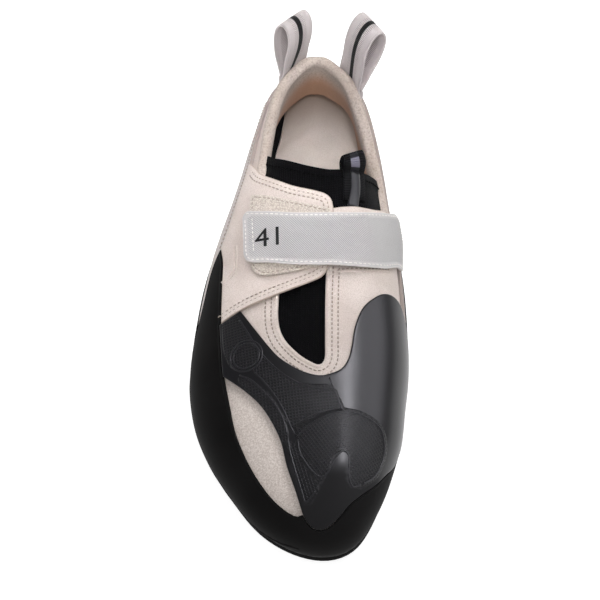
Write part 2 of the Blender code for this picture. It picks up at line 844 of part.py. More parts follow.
def slab(name, loop, low, high, chamfer, material):
    """A sole board: an outline between two heights over the floor lift, its lower edge chamfered."""
    places, faces = filled([loop], lattice([loop], SOLE_SPACING))
    rim = np.arange(len(loop))
    order = [int(np.argmin(np.linalg.norm(places - p, axis=1))) for p in loop]
    top = np.column_stack([places, floor_lift(places[:, 1]) + high])
    under = places.copy()
    under[order] = narrowed(loop, chamfer)[rim] if area(loop) > 0 else under[order]
    bottom = np.column_stack([under, floor_lift(under[:, 1]) + low])
    count = len(places)
    ring = np.array(order)
    if chamfer:
        edge = np.column_stack([loop, floor_lift(loop[:, 1]) + low + chamfer])
        a, b = ring, np.roll(ring, -1)
        c = 2 * count + rim
        d = np.roll(c, -1)
        walls = [(a, c, b), (b, c, d), (c, a + count, d), (d, a + count, b + count)]
        walls = np.concatenate([np.stack(w, axis=1) for w in walls])
        every = np.concatenate([faces, faces[:, ::-1] + count, walls])
        return put(name, np.concatenate([top, bottom, edge]), every, material)
    return solid(name, top, bottom, faces, material)


def build_soles():
    black = coat("black_sole_rubber", (0.02, 0.02, 0.021), 0.7)
    edge = OVER_UPPER + RUBBER_WALL + SOLE_EDGE
    outline = ground_outline(edge, 0.0065)
    if area(outline) < 0:
        outline = outline[::-1]
    slab("outsole", outline, 0.0, SOLE_THICKNESS, SOLE_CHAMFER, black)
    board = coat("grey_board", (0.30, 0.29, 0.28), 0.9)
    inner = ground_outline(-INSIDE_CLEARANCE, 0.0090)
    if area(inner) < 0:
        inner = inner[::-1]
    low = SOLE_THICKNESS + LAYER_GAP
    slab("midsole", inner, low, low + MIDSOLE_THICKNESS, 0.0, board)
    low += MIDSOLE_THICKNESS + GAP
    lining = coat("cream_lining", (0.60, 0.53, 0.48), 0.9)
    slab("insole", inner, low, low + INSOLE_THICKNESS, 0.0, lining)


def ribbon(name, rows, material):
    """A closed strip: each row holds its upper and its lower points across the width."""
    count, across = len(rows), len(rows[0][0])
    top = np.concatenate([np.array(r[0]) for r in rows])
    bottom = np.concatenate([np.array(r[1]) for r in rows])
    faces = []
    for i in range(count - 1):
        for j in range(across - 1):
            a = i * across + j
            faces += [(a, a + 1, a + across), (a + 1, a + across + 1, a + across)]
    return solid(name, top, bottom, np.array(faces), material)


def unit(vector):
    return vector / np.linalg.norm(vector)


def loop_path(share, stand, gap):
    """A pull loop seen from its side, as height above the rim and distance out, a drop that closes at the rim."""
    turn = 2 * math.pi * share
    height = stand * (1 - math.cos(turn)) / 2
    swell = math.sin(turn / 2) ** 2.2
    return height, -0.5 * (gap + WEBBING_WALL) * math.cos(turn / 2) * swell * 1.9


def build_loop(name, row_at, offsets, stand, gap, lean, material):
    """A webbing loop: its two ends lie flat on the shoe one over the other, and the drop stands above an edge.

    Row_at gives the (along, down) places across the webbing, 0 at the edge and 1 at the sewn end.
    Offsets are how far the starting and the finishing end stand off the last.
    """
    first = LAST.shell(LAST.spread(*row_at(0.0)), offsets[0])
    last = LAST.shell(LAST.spread(*row_at(0.0)), offsets[1])
    width_way = unit((first[-1] - first[0]) * [1, 1, 0])
    up_way = unit(np.array([*lean, 1]))
    out_way = unit(np.cross(up_way, width_way))
    out_way *= 1 if out_way[1] > 0 else -1
    across = np.linspace(-0.5, 0.5, len(first)) * float(np.linalg.norm(first[-1] - first[0]))
    middle = (first.mean(axis=0) + last.mean(axis=0)) / 2
    centres = []
    for share in np.linspace(0, 1, LOOP_ROWS):
        height, out = loop_path(share, stand, gap)
        straight = middle + up_way * height + out_way * out + np.outer(across, width_way)
        base = (first if share < 0.5 else last) + up_way * height + out_way * out
        blend = min(1.0, height / LOOP_BLEND)
        blend = blend * blend * (3 - 2 * blend)
        centres.append(base * (1 - blend) + straight * blend)
    half = WEBBING_WALL / 2
    rows = []
    for share in (1.0, 0.75, 0.5, 0.25):
        places = LAST.spread(*row_at(share))
        rows.append((LAST.shell(places, offsets[0] - half), LAST.shell(places, offsets[0] + half)))
    for points, ahead in zip(centres, np.gradient(np.array(centres).mean(axis=1), axis=0)):
        inner = unit(np.cross(ahead, width_way))
        inner *= 1 if np.dot(inner, out_way) * np.dot(ahead, up_way) > 0 else -1
        rows.append((points - inner * half, points + inner * half))
    towards = 1 if offsets[1] > offsets[0] else -1
    for share in (0.25, 0.5, 0.75, 1.0):
        places = LAST.spread(*row_at(share))
        rows.append((LAST.shell(places, offsets[1] + half * towards), LAST.shell(places, offsets[1] - half * towards)))
    if towards < 0:
        rows[:4] = [(inner, outer) for outer, inner in rows[:4]]
    return ribbon(name, rows, material)


def build_pull_loops():
    """The two webbing loops that pull the heel on, sewn to the upper between its rim and the sling."""
    webbing = coat("light_grey_webbing", (0.47, 0.44, 0.44), 0.8)
    across = np.linspace(0, 1, 4)
    under = OVER_UPPER + WEBBING_WALL / 2
    over = under + WEBBING_WALL + GAP
    for name, side, near, far, stand, lean in (
        ("pull_loop_lateral", -1, 0.052, 0.004, 0.0230, (0.07, 0.30)),
        ("pull_loop_medial", 1, 0.028, 0.094, 0.0250, (0.32, 0.30)),
    ):

        def row_at(share, side=side, near=near, far=far):
            return near + (far - near) * across, np.full(4, side * (LOOP_RIM + LOOP_SEWN * share))

        build_loop(name, row_at, (under, over), stand, LOOP_GAP, lean, webbing)


def build_tongue_tab():
    """The black webbing tab that stands over the gusset's hem."""
    webbing = coat("black_webbing", (0.02, 0.02, 0.022), 0.8)
    across = np.linspace(0, 1, 3)
    outer = -LAYER_GAP + GAP + WEBBING_WALL / 2
    inner = -LAYER_GAP - GUSSET_WALL - LAYER_GAP - WEBBING_WALL / 2

    def row_at(share):
        return np.full(3, TAB_HEM + TAB_SEWN * share), TAB_DOWN + TAB_SPAN * across

    build_loop("tongue_tab", row_at, (outer, inner), TAB_STAND, TAB_GAP, (0.05, 0.30), webbing)


def clear_scene():
    for thing in list(bpy.data.objects):
        bpy.data.objects.remove(thing, do_unlink=True)


def main():
    clear_scene()
    build_upper()
    build_gusset()
    build_rubber()
    build_flap()
    build_fastening()
    build_soles()
    build_pull_loops()
    build_tongue_tab()


main()
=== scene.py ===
# A right-foot climbing shoe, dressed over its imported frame. Metres; toe to -Y, big toe side to +X.
import math
from functools import partial

import bpy
import numpy as np
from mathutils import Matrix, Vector
from mathutils.geometry import delaunay_2d_cdt


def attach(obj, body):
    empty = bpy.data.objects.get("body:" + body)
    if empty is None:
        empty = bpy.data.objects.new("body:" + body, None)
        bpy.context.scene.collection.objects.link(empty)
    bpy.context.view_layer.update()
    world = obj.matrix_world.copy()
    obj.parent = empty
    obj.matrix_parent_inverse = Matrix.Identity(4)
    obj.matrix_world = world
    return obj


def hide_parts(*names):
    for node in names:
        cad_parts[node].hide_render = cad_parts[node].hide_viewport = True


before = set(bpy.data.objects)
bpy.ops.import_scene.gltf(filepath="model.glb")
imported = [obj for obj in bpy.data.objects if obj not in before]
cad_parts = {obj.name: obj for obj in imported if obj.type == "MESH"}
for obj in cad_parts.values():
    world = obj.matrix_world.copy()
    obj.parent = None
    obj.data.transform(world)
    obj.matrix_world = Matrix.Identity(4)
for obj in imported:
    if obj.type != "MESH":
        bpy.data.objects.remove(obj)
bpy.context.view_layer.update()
print("frame loaded:", len(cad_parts), "nodes")

# the last: the form that the shoe is pulled over
lastSize = {
    "length": 0.2306,
    "ballWidth": 0.0903,
    "instepHeight": 0.0690,
    "archRise": 0.0075,
    "heelToOrigin": 0.1640,
    "ridgeHeelInset": 0.0260,
    "ridgeToeInset": 0.0280,
    "featherTuck": 0.0035,
    "soleThickness": 0.0042,
    "soleGap": 0.0004,
}

# share of length, lateral edge, medial edge, height of the widest line, squareness of either side
sectionRows = np.array([
    (0.000, 0.082, 0.082, 0.430, 1.40, 1.40),
    (0.020, -0.060, 0.222, 0.430, 1.40, 1.40),
    (0.070, -0.168, 0.328, 0.420, 1.42, 1.50),
    (0.140, -0.236, 0.380, 0.410, 1.60, 1.75),
    (0.220, -0.288, 0.415, 0.390, 2.00, 2.15),
    (0.300, -0.338, 0.440, 0.360, 2.35, 2.35),
    (0.380, -0.398, 0.466, 0.330, 2.40, 2.45),
    (0.460, -0.445, 0.485, 0.300, 2.35, 2.50),
    (0.530, -0.472, 0.492, 0.270, 2.30, 2.50),
    (0.600, -0.492, 0.492, 0.250, 2.20, 2.50),
    (0.660, -0.497, 0.484, 0.230, 2.20, 2.50),
    (0.710, -0.484, 0.467, 0.220, 2.20, 2.50),
    (0.755, -0.460, 0.454, 0.215, 2.20, 2.40),
    (0.800, -0.418, 0.435, 0.210, 2.20, 2.40),
    (0.840, -0.368, 0.406, 0.205, 2.20, 2.40),
    (0.875, -0.311, 0.377, 0.200, 2.20, 2.30),
    (0.920, -0.233, 0.329, 0.190, 2.20, 2.30),
    (0.960, -0.135, 0.274, 0.180, 2.20, 2.20),
    (0.980, -0.061, 0.235, 0.175, 2.20, 2.20),
    (1.000, 0.111, 0.111, 0.170, 2.20, 2.20),
])
# share of length, place across and height of the ridge
ridgeRows = np.array([
    (0.00, 0.078, 1.54), (0.05, 0.078, 1.46), (0.10, 0.080, 1.31), (0.15, 0.083, 1.14), (0.19, 0.086, 1.04),
    (0.23, 0.089, 0.985), (0.30, 0.094, 0.93), (0.40, 0.100, 0.85), (0.50, 0.105, 0.77), (0.60, 0.116, 0.705),
    (0.70, 0.133, 0.64), (0.80, 0.155, 0.575), (0.90, 0.178, 0.510), (0.95, 0.182, 0.480), (1.00, 0.184, 0.450),
])
# share of length, rise of the arch and toe
riseRows = np.array([
    (0.00, 0.30), (0.03, 0.08), (0.07, -0.05), (0.14, -0.08), (0.20, -0.01), (0.27, 0.35), (0.34, 0.82), (0.41, 1.00),
    (0.48, 0.82), (0.55, 0.40), (0.61, 0.06), (0.66, -0.06), (0.80, -0.08), (0.93, -0.04), (1.00, 0.12),
])


def splineThrough(knots, values, at):
    # natural cubic spline: a third-degree curve between each pair of knots, its bend continuous at every knot
    step = np.diff(knots)
    slope = np.diff(values) / step
    matrix = np.eye(len(knots))
    right = np.zeros(len(knots))
    for i in range(1, len(knots) - 1):
        matrix[i, i - 1:i + 2] = step[i - 1], 2 * (step[i - 1] + step[i]), step[i]
        right[i] = 6 * (slope[i] - slope[i - 1])
    bend = np.linalg.solve(matrix, right)
    at = np.asarray(at, float)
    i = np.clip(np.searchsorted(knots, at) - 1, 0, len(knots) - 2)
    a = (knots[i + 1] - at) / step[i]
    b = (at - knots[i]) / step[i]
    curve = ((a**3 - a) * bend[i] + (b**3 - b) * bend[i + 1]) * step[i]**2 / 6
    return a * values[i] + b * values[i + 1] + curve


def turnOf(along):
    # the angle whose cosine runs from 1 at the heel to -1 at the toe, over pi
    return np.arccos(np.clip(1 - 2 * np.asarray(along, float), -1, 1)) / math.pi


def floorLift(y):
    # the arch and the toe spring: a spline through the rises, never below the floor
    along = np.clip((lastSize["heelToOrigin"] - np.asarray(y, float)) / lastSize["length"], 0, 1)
    return lastSize["archRise"] * np.maximum(splineThrough(riseRows[:, 0], riseRows[:, 1], along), 0)


class LastShape:
    # each section runs out from the ridge as a squared-off quarter ellipse, then straight down to the foot

    def __init__(self, turns=241, angles=161, steps=121):
        s = lastSize
        self.turns = turns
        self.steps = steps
        self.turn = np.linspace(0, 1, turns)
        along = (1 - np.cos(math.pi * self.turn)) / 2
        self.edgeY = s["heelToOrigin"] - s["length"] * along
        ridgeSpan = s["length"] - s["ridgeHeelInset"] - s["ridgeToeInset"]
        self.ridgeY = s["heelToOrigin"] - s["ridgeHeelInset"] - ridgeSpan * along
        knots = ridgeRows[:, 0]
        self.ridgeX = s["ballWidth"] * splineThrough(knots, ridgeRows[:, 1], along)
        self.ridgeZ = s["instepHeight"] * splineThrough(knots, ridgeRows[:, 2], along)
        self.widestZ = s["instepHeight"] * splineThrough(sectionRows[:, 0], sectionRows[:, 3], along)
        even = np.linspace(0, 1, 101)
        evenY = s["heelToOrigin"] - s["ridgeHeelInset"] - ridgeSpan * even
        fall = np.gradient(s["instepHeight"] * splineThrough(knots, ridgeRows[:, 2], even), evenY)
        drift = np.gradient(s["ballWidth"] * splineThrough(knots, ridgeRows[:, 1], even), evenY)
        fall = np.interp(along, even, fall)
        drift = np.interp(along, even, drift)
        self.footZ = floorLift(self.edgeY) + s["soleThickness"] + s["soleGap"]
        self.sides = {}
        for side, edge, power in ((-1, 1, 4), (1, 2, 5)):
            knotTurns = turnOf(sectionRows[:, 0])
            edgeX = s["ballWidth"] * splineThrough(knotTurns, sectionRows[:, edge], self.turn)
            away = np.stack([edgeX - self.ridgeX, self.edgeY - self.ridgeY], axis=1)
            reach = np.linalg.norm(away, axis=1)
            t = {"power": splineThrough(sectionRows[:, 0], sectionRows[:, power], along), "reach": reach}
            t["wayX"] = away[:, 0] / reach
            t["wayY"] = away[:, 1] / reach
            t["tilt"] = fall * (t["wayY"] + drift * t["wayX"]) / (1 + drift**2)
            places = np.concatenate([np.linspace(0, 1, angles), np.linspace(1, 2, steps)[1:]])
            grid = np.repeat(places[None], turns, axis=0)
            turn = np.repeat(self.turn[:, None], len(places), axis=1)
            out, height = self.profile(t, turn, grid)
            hops = np.hypot(np.diff(out, axis=1), np.diff(height, axis=1))
            run = np.concatenate([np.zeros((turns, 1)), np.cumsum(hops, axis=1)], axis=1)
            t["run"] = run[:, -1]
            shares = np.linspace(0, 1, steps)
            t["place"] = np.array([np.interp(shares, row / row[-1], places) for row in run])
            self.sides[side] = t

    def at(self, values, turn):
        # values of the even turns read off between them
        return np.interp(turn, self.turn, values)

    def profile(self, t, turn, place):
        # how far out and how high: place runs 0 to 1 round the quarter ellipse, then 1 to 2 down to the foot
        power = self.at(t["power"], turn)
        reach = self.at(t["reach"], turn)
        top = self.at(self.ridgeZ, turn)
        widest = self.at(self.widestZ, turn)
        angle = np.clip(place, 0, 1) * math.pi / 2
        sine = np.sin(angle)
        cosine = np.maximum(np.cos(angle), 0)
        size = (sine**power + cosine**power)**(1 / power)
        under = np.clip(place - 1, 0, 1)
        out = reach * sine / size - lastSize["featherTuck"] * under**2
        height = widest + (top - widest + self.at(t["tilt"], turn) * reach * sine / size) * cosine / size
        return out, height - (widest - self.at(self.footZ, turn)) * under

    def spread(self, places):
        # shares (along, down) to the flat pattern: down runs 0 at the ridge to 1 at the foot, negative laterally
        places = np.asarray(places, float).reshape(-1, 2)
        turn = turnOf(places[:, 0])
        down = places[:, 1]
        both = []
        for side in (-1, 1):
            t = self.sides[side]
            run = np.abs(down) * self.at(t["run"], turn)
            x = self.at(self.ridgeX, turn) + self.at(t["wayX"], turn) * run
            both.append(np.stack([x, self.at(self.ridgeY, turn) + self.at(t["wayY"], turn) * run], axis=1))
        return np.where((down < 0)[:, None], both[0], both[1])

    def isLateral(self, points):
        # which side of the ridge, carried straight on past its two ends
        t = self.sides[1]
        middle = np.interp(points[:, 1], self.ridgeY[::-1], self.ridgeX[::-1])
        heel = self.ridgeX[0] + (points[:, 1] - self.ridgeY[0]) * t["wayX"][0] / t["wayY"][0]
        toe = self.ridgeX[-1] + (points[:, 1] - self.ridgeY[-1]) * t["wayX"][-1] / t["wayY"][-1]
        middle = np.where(points[:, 1] > self.ridgeY[0], heel, middle)
        return points[:, 0] < np.where(points[:, 1] < self.ridgeY[-1], toe, middle)

    def surface(self, points):
        # a point of the flat pattern back onto the last, with the share of the way down its section
        result = np.zeros((len(points), 4))
        lateral = self.isLateral(points)
        for side, chosen in ((-1, lateral), (1, ~lateral)):
            if not chosen.any():
                continue
            some = points[chosen]
            t = self.sides[side]
            low = np.zeros(len(some))
            high = np.ones(len(some))
            for _ in range(30):  # halve towards the section line that runs through the point
                turn = (low + high) / 2
                dx = some[:, 0] - self.at(self.ridgeX, turn)
                dy = some[:, 1] - self.at(self.ridgeY, turn)
                before = (self.at(t["wayX"], turn) * dy - self.at(t["wayY"], turn) * dx) * side < 0
                low = np.where(before, turn, low)
                high = np.where(before, high, turn)
            start = np.stack([self.at(self.ridgeX, turn), self.at(self.ridgeY, turn)], axis=1)
            share = np.linalg.norm(some - start, axis=1) / self.at(t["run"], turn)
            row = np.clip(turn * (self.turns - 1), 0, self.turns - 1.001)
            step = np.clip(np.clip(share, 0, 1) * (self.steps - 1), 0, self.steps - 1.001)
            i, j = row.astype(int), step.astype(int)
            a, b = row - i, step - j
            p = t["place"]
            place = (p[i, j] * (1 - b) + p[i, j + 1] * b) * (1 - a)
            place += (p[i + 1, j] * (1 - b) + p[i + 1, j + 1] * b) * a
            out, height = self.profile(t, turn, place)
            x = start[:, 0] + self.at(t["wayX"], turn) * out
            y = start[:, 1] + self.at(t["wayY"], turn) * out
            result[chosen] = np.stack([x, y, height, share], axis=1)
        return result

    def lay(self, points):
        # base points and unit normals on the last; the normal is the cross product of two short steps
        reach = 0.0006
        levelFrom, levelOver = 0.86, 0.10  # towards the foot the normals turn level
        points = np.asarray(points, float).reshape(-1, 2)
        base = self.surface(points)
        right = self.surface(points + [reach, 0])[:, :3] - self.surface(points - [reach, 0])[:, :3]
        back = self.surface(points + [0, reach])[:, :3] - self.surface(points - [0, reach])[:, :3]
        normal = np.cross(right, back)
        level = np.clip((base[:, 3] - levelFrom) / levelOver, 0, 1)
        normal[:, 2] *= 1 - level
        normal /= np.maximum(np.linalg.norm(normal, axis=1), 1e-12)[:, None]
        return base[:, :3], normal

    def stand(self, points, offset):
        # the last's points moved out along their normals
        base, normal = self.lay(points)
        return base + normal * np.asarray(offset, float).reshape(-1, 1)


last = LastShape()
print("last shaped")


def patternLine(text):
    # places on the last in thousandths, how far along and how far down it (negative laterally);
    # a star keeps a sharp turn
    places = []
    for place in text.split(","):
        along, down = place.strip(" *").split()
        places.append((int(along) / 1000, int(down) / 1000) + ((True,) if "*" in place else ()))
    return places


collarLine = patternLine("0 325, 18 -322, 50 -330, 95 -338, 138 -338, 170 -338, 206 -345, 247 -325, 275 -260")
slotLine = patternLine(
    "300 -205, 430 -216, 552 -239, 622 -249, 667 -229, 709 -168, 737 -105, 749 -57, 736 -22, 690 -8, 587 17, "
    "508 36, 400 62, 366 88, 364 160, 360 290, 350 400, 338 500")
ankleLine = patternLine("322 580, 285 612, 245 580, 205 515, 170 452, 138 405, 105 345, 75 315, 45 308, 18 316")
tongueLine = patternLine(
    "190 -440*, 215 -315, 228 -239, 237 -94, 242 37, 253 127, 258 263, 248 415, 232 520, 212 610*, 300 695, "
    "370 620, 402 450, 412 220, 440 140, 560 95, 700 60, 775 10, 785 -80, 735 -220, 670 -305, 600 -320, 450 -290, "
    "340 -285, 275 -370")
flapFreeEdgeLine = patternLine(
    "225 -405, 250 -345, 277 -293, 302 -154, 306 -19, 315 34, 331 70, 353 85, 399 90, 461 76, 505 45, 533 -1, "
    "552 -109, 568 -251, 582 -421, 596 -550")
flapHemLine = patternLine("596 -550, 569 -552, 500 -558, 455 -562, 417 -590")
slingFrontLateralLine = patternLine("417 -590, 441 -642, 469 -675, 518 -706, 552 -738, 578 -782")
slingTopLateralLine = patternLine("417 -590, 375 -535, 312 -478, 235 -425, 150 -395, 80 -405, 30 -420, 0 -430")
slingTopMedialLine = patternLine(
    "0 430, 30 425, 80 445, 150 545, 240 670, 330 715, 420 705, 500 695, 550 710, 575 760")
heelSeamLine = patternLine(
    "578 -782, 500 -800, 400 -800, 300 -790, 200 -780, 100 -780, 30 -770, 0 -760, 30 770, 100 780, 200 780, "
    "300 785, 400 785, 500 780, 575 760")
lateralSeamLine = patternLine("596 -555, 640 -553, 685 -565, 709 -571")
eyeLowerEdgeLine = patternLine("709 -571, 765 -582, 822 -612, 885 -635, 942 -633, 973 -622, 984 -602, 987 -570")
eyeUpperEdgeLine = patternLine("709 -571, 765 -467, 811 -413, 872 -395, 922 -426, 963 -470, 987 -570")
toeSeamLine = patternLine(
    "987 -570, 994 -615, 998 -637, 1000 612, 996 522, 986 467, 963 484, 912 585, 874 658, 838 745, 788 815, "
    "740 835, 700 835")
medialSeamLine = patternLine("700 835, 660 815, 620 785, 575 760")
patchLobesLine = patternLine(
    "700 835, 640 775, 590 700, 555 630, 535 560, 530 487, 537 406, 555 335, 590 249, 639 195, 687 172, 723 145, "
    "756 85, 780 -5, 777 -75, 753 -168, 716 -254, 684 -301, 640 -355, 582 -435")
patchShoulderLine = patternLine("582 -435, 590 -493, 596 -555")
padLine = patternLine(
    "329 -365, 330 -320, 344 -160, 350 1, 362 62*, 461 52, 502 20*, 515 -117, 520 -240, 517 -315, 496 -371, "
    "460 -381, 390 -380")
strapLine = patternLine(
    "382 -402, 370 -375, 374 -300, 377 -107, 376 173, 355 401, 334 520, 322 648*, 440 655*, 452 560, 482 400, "
    "503 174, 506 -115, 492 -300, 486 -370, 470 -402, 425 -404")


def easeThrough(points, step, closed):
    # a third-degree curve through each pair of places, its slope taken from the neighbours on either side
    if len(points) == 2 and not closed:
        count = max(1, round(np.linalg.norm(points[1] - points[0]) / step))
        return points[0] + (points[1] - points[0]) * np.linspace(0, 1, count + 1)[:, None]
    if closed:
        line = np.concatenate([points[-1:], points, points[:2]])
    else:
        line = np.concatenate([[2 * points[0] - points[1]], points, [2 * points[-1] - points[-2]]])
    runs = []
    for before, start, end, after in zip(line[:-3], line[1:-2], line[2:-1], line[3:]):
        count = max(1, round(np.linalg.norm(end - start) / step))
        t = np.arange(count)[:, None] / count
        bend = 2 * start + (end - before) * t + (2 * before - 5 * start + 4 * end - after) * t**2
        runs.append((bend + (3 * start - before - 3 * end + after) * t**3) / 2)
    return np.concatenate(runs) if closed else np.concatenate(runs + [line[-2:-1]])


def openLine(places, step):
    # smooth between places, with a sharp turn at each place that carries a third value
    points = last.spread([p[:2] for p in places])
    cuts = [i for i, p in enumerate(places) if len(p) > 2 or i in (0, len(places) - 1)]
    runs = [easeThrough(points[a:b + 1], step, False) for a, b in zip(cuts, cuts[1:])]
    return np.concatenate([run[:-1] for run in runs] + [points[-1:]])


def closedLine(places, step):
    # the same, closed on itself
    if any(len(p) > 2 for p in places):
        return openLine(list(places) + [places[0]], step)[:-1]
    return easeThrough(last.spread(places), step, True)


def joinedLine(lines, step):
    # pattern lines end to end; a line paired with -1 runs backwards
    runs = []
    for line in lines:
        backwards = isinstance(line, tuple)
        run = openLine(line[0] if backwards else line, step)
        runs.append((run[::-1] if backwards else run)[:-1])
    return np.concatenate(runs)


def footLine(step):
    # the edge where the last meets the sole, a hair inside the pattern's end
    turns = np.linspace(0, 1, 400)
    along = (1 - np.cos(math.pi * turns)) / 2
    lateral = last.spread(np.stack([along, np.full(400, -0.9995)], axis=1))
    medial = last.spread(np.stack([along[::-1], np.full(400, 0.9995)], axis=1))
    return evenly(np.concatenate([lateral, medial[1:-1]]), step, True)


def runAlong(line):
    # how far along the line each of its points lies
    return np.concatenate([[0], np.cumsum(np.linalg.norm(np.diff(line, axis=0), axis=1))])


def evenly(line, step, closed=False):
    # the same line with its points an even step apart
    if closed:
        line = np.concatenate([line, line[:1]])
    run = runAlong(line)
    count = max(4, round(run[-1] / step))
    at = np.linspace(0, run[-1], count, endpoint=not closed)
    return np.stack([np.interp(at, run, line[:, k]) for k in range(line.shape[1])], axis=1)


def signedArea(loop):
    # half the sum of cross products: above zero when the loop runs anticlockwise
    after = np.roll(loop, -1, axis=0)
    return 0.5 * float(np.sum(loop[:, 0] * after[:, 1] - after[:, 0] * loop[:, 1]))


def sideways(line, closed):
    # unit vectors to the left of the line, halfway between the two segments that meet at each point
    ahead = np.roll(line, -1, axis=0) - line
    if not closed:
        ahead[-1] = ahead[-2]
    ahead /= np.maximum(np.linalg.norm(ahead, axis=1), 1e-9)[:, None]
    behind = np.roll(ahead, 1, axis=0)
    if not closed:
        behind[0] = ahead[0]
    left = np.stack([-ahead[:, 1] - behind[:, 1], ahead[:, 0] + behind[:, 0]], axis=1)
    size = np.linalg.norm(left, axis=1)[:, None]
    return left / np.maximum(size, 0.7)**2 * 2


def narrowed(loop, by):
    # the outline run anticlockwise and moved inwards
    loop = loop if signedArea(loop) > 0 else loop[::-1]
    return loop + sideways(loop, True) * by


def isWithin(points, loop):
    # counts how often a ray to the right crosses the outline: odd means inside
    result = np.zeros(len(points), bool)
    a, b = loop, np.roll(loop, -1, axis=0)
    rise = np.where(b[:, 1] == a[:, 1], 1e-12, b[:, 1] - a[:, 1])
    for start in range(0, len(points), 3000):
        some = points[start:start + 3000]
        x, y = some[:, 0:1], some[:, 1:2]
        spans = (a[:, 1] > y) != (b[:, 1] > y)
        crossing = a[:, 0] + (y - a[:, 1]) * (b[:, 0] - a[:, 0]) / rise
        result[start:start + 3000] = (spans & (x < crossing)).sum(axis=1) % 2 == 1
    return result


def awayFrom(points, line, closed=True):
    # least distance to the segments of a line
    a = line if closed else line[:-1]
    span = (np.roll(line, -1, axis=0) - line) if closed else np.diff(line, axis=0)
    square = np.maximum((span**2).sum(axis=1), 1e-18)
    result = np.zeros(len(points))
    for start in range(0, len(points), 2000):
        offset = points[start:start + 2000, None] - a[None]
        share = np.clip((offset * span).sum(axis=2) / square, 0, 1)
        gap = offset - span * share[..., None]
        result[start:start + 2000] = np.sqrt((gap**2).sum(axis=2)).min(axis=1)
    return result


def lattice(loops, spacing):
    # a triangular lattice clipped to the outline and its holes; 0.866 is the height of a row of unit triangles
    low, high = loops[0].min(axis=0) - spacing, loops[0].max(axis=0) + spacing
    rows = np.arange(math.floor(low[1] / spacing / 0.866), math.ceil(high[1] / spacing / 0.866))
    columns = np.arange(math.floor(low[0] / spacing) - 1, math.ceil(high[0] / spacing) + 1)
    gridX, gridY = np.meshgrid(columns, rows)
    points = np.stack([(gridX + 0.5 * (gridY % 2)).ravel(), gridY.ravel() * 0.866], axis=1) * spacing
    points = points[isWithin(points, loops[0])]
    for hole in loops[1:]:
        points = points[~isWithin(points, hole)]
    for loop in loops:
        points = points[awayFrom(points, loop) > 0.55 * spacing]
    return points


def filled(loops, inner):
    # triangles between an outline and its holes, all facing one way
    points = np.concatenate(loops + [inner])
    edges = []
    start = 0
    for loop in loops:
        edges += [(start + i, start + (i + 1) % len(loop)) for i in range(len(loop))]
        start += len(loop)
    cut = delaunay_2d_cdt([Vector(p) for p in points], edges, [], 0, 1e-9)
    places = np.array([tuple(p) for p in cut[0]])
    faces = np.array(cut[2])
    middles = places[faces].mean(axis=1)
    keep = isWithin(middles, loops[0])
    for hole in loops[1:]:
        keep &= ~isWithin(middles, hole)
    faces = faces[keep]
    c = places[faces]
    turned = np.cross(c[:, 1] - c[:, 0], c[:, 2] - c[:, 0]) < 0
    faces[turned] = faces[turned][:, ::-1]
    return places, faces


def newPiece(name, parts, material, node=None, marks=None):
    # one mesh out of closed parts: points, arrays of triangles or quads, and places on the pattern for the UV map;
    # a part whose signed volume is below zero is turned the right way out
    faces = []
    count = 0
    for points, arrays, flat in parts:
        corners = points[arrays[0]] - points.mean(axis=0)
        volume = 0.0
        for k in range(1, corners.shape[1] - 1):
            volume += np.einsum("ij,ij->i", corners[:, 0], np.cross(corners[:, k], corners[:, k + 1])).sum()
        for array in arrays:
            faces += ((array[:, ::-1] if volume < 0 else array) + count).tolist()
        count += len(points)
    mesh = bpy.data.meshes.new(name)
    mesh.from_pydata(np.concatenate([part[0] for part in parts]).tolist(), [], faces)
    mesh.polygons.foreach_set("use_smooth", np.ones(len(mesh.polygons), bool))
    mesh.materials.append(material)
    index = np.zeros(len(mesh.loops), np.int32)
    mesh.loops.foreach_get("vertex_index", index)
    flats = np.concatenate([part[2] for part in parts]).astype(np.float32)
    mesh.uv_layers.new(name="flat").data.foreach_set("uv", flats[index].ravel())
    for key, values in (marks or {}).items():
        mesh.attributes.new(key, "FLOAT", "POINT").data.foreach_set("value", np.asarray(values, np.float32))
    mesh.update()
    piece = bpy.data.objects.new(name, mesh)
    bpy.context.scene.collection.objects.link(piece)
    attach(piece, "root")
    if node:
        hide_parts(node)
    return piece


def joinRings(a, b):
    # two rings of points joined by triangles
    nextA, nextB = np.roll(a, -1), np.roll(b, -1)
    return [np.stack([a, b, nextA], axis=1), np.stack([nextA, b, nextB], axis=1)]


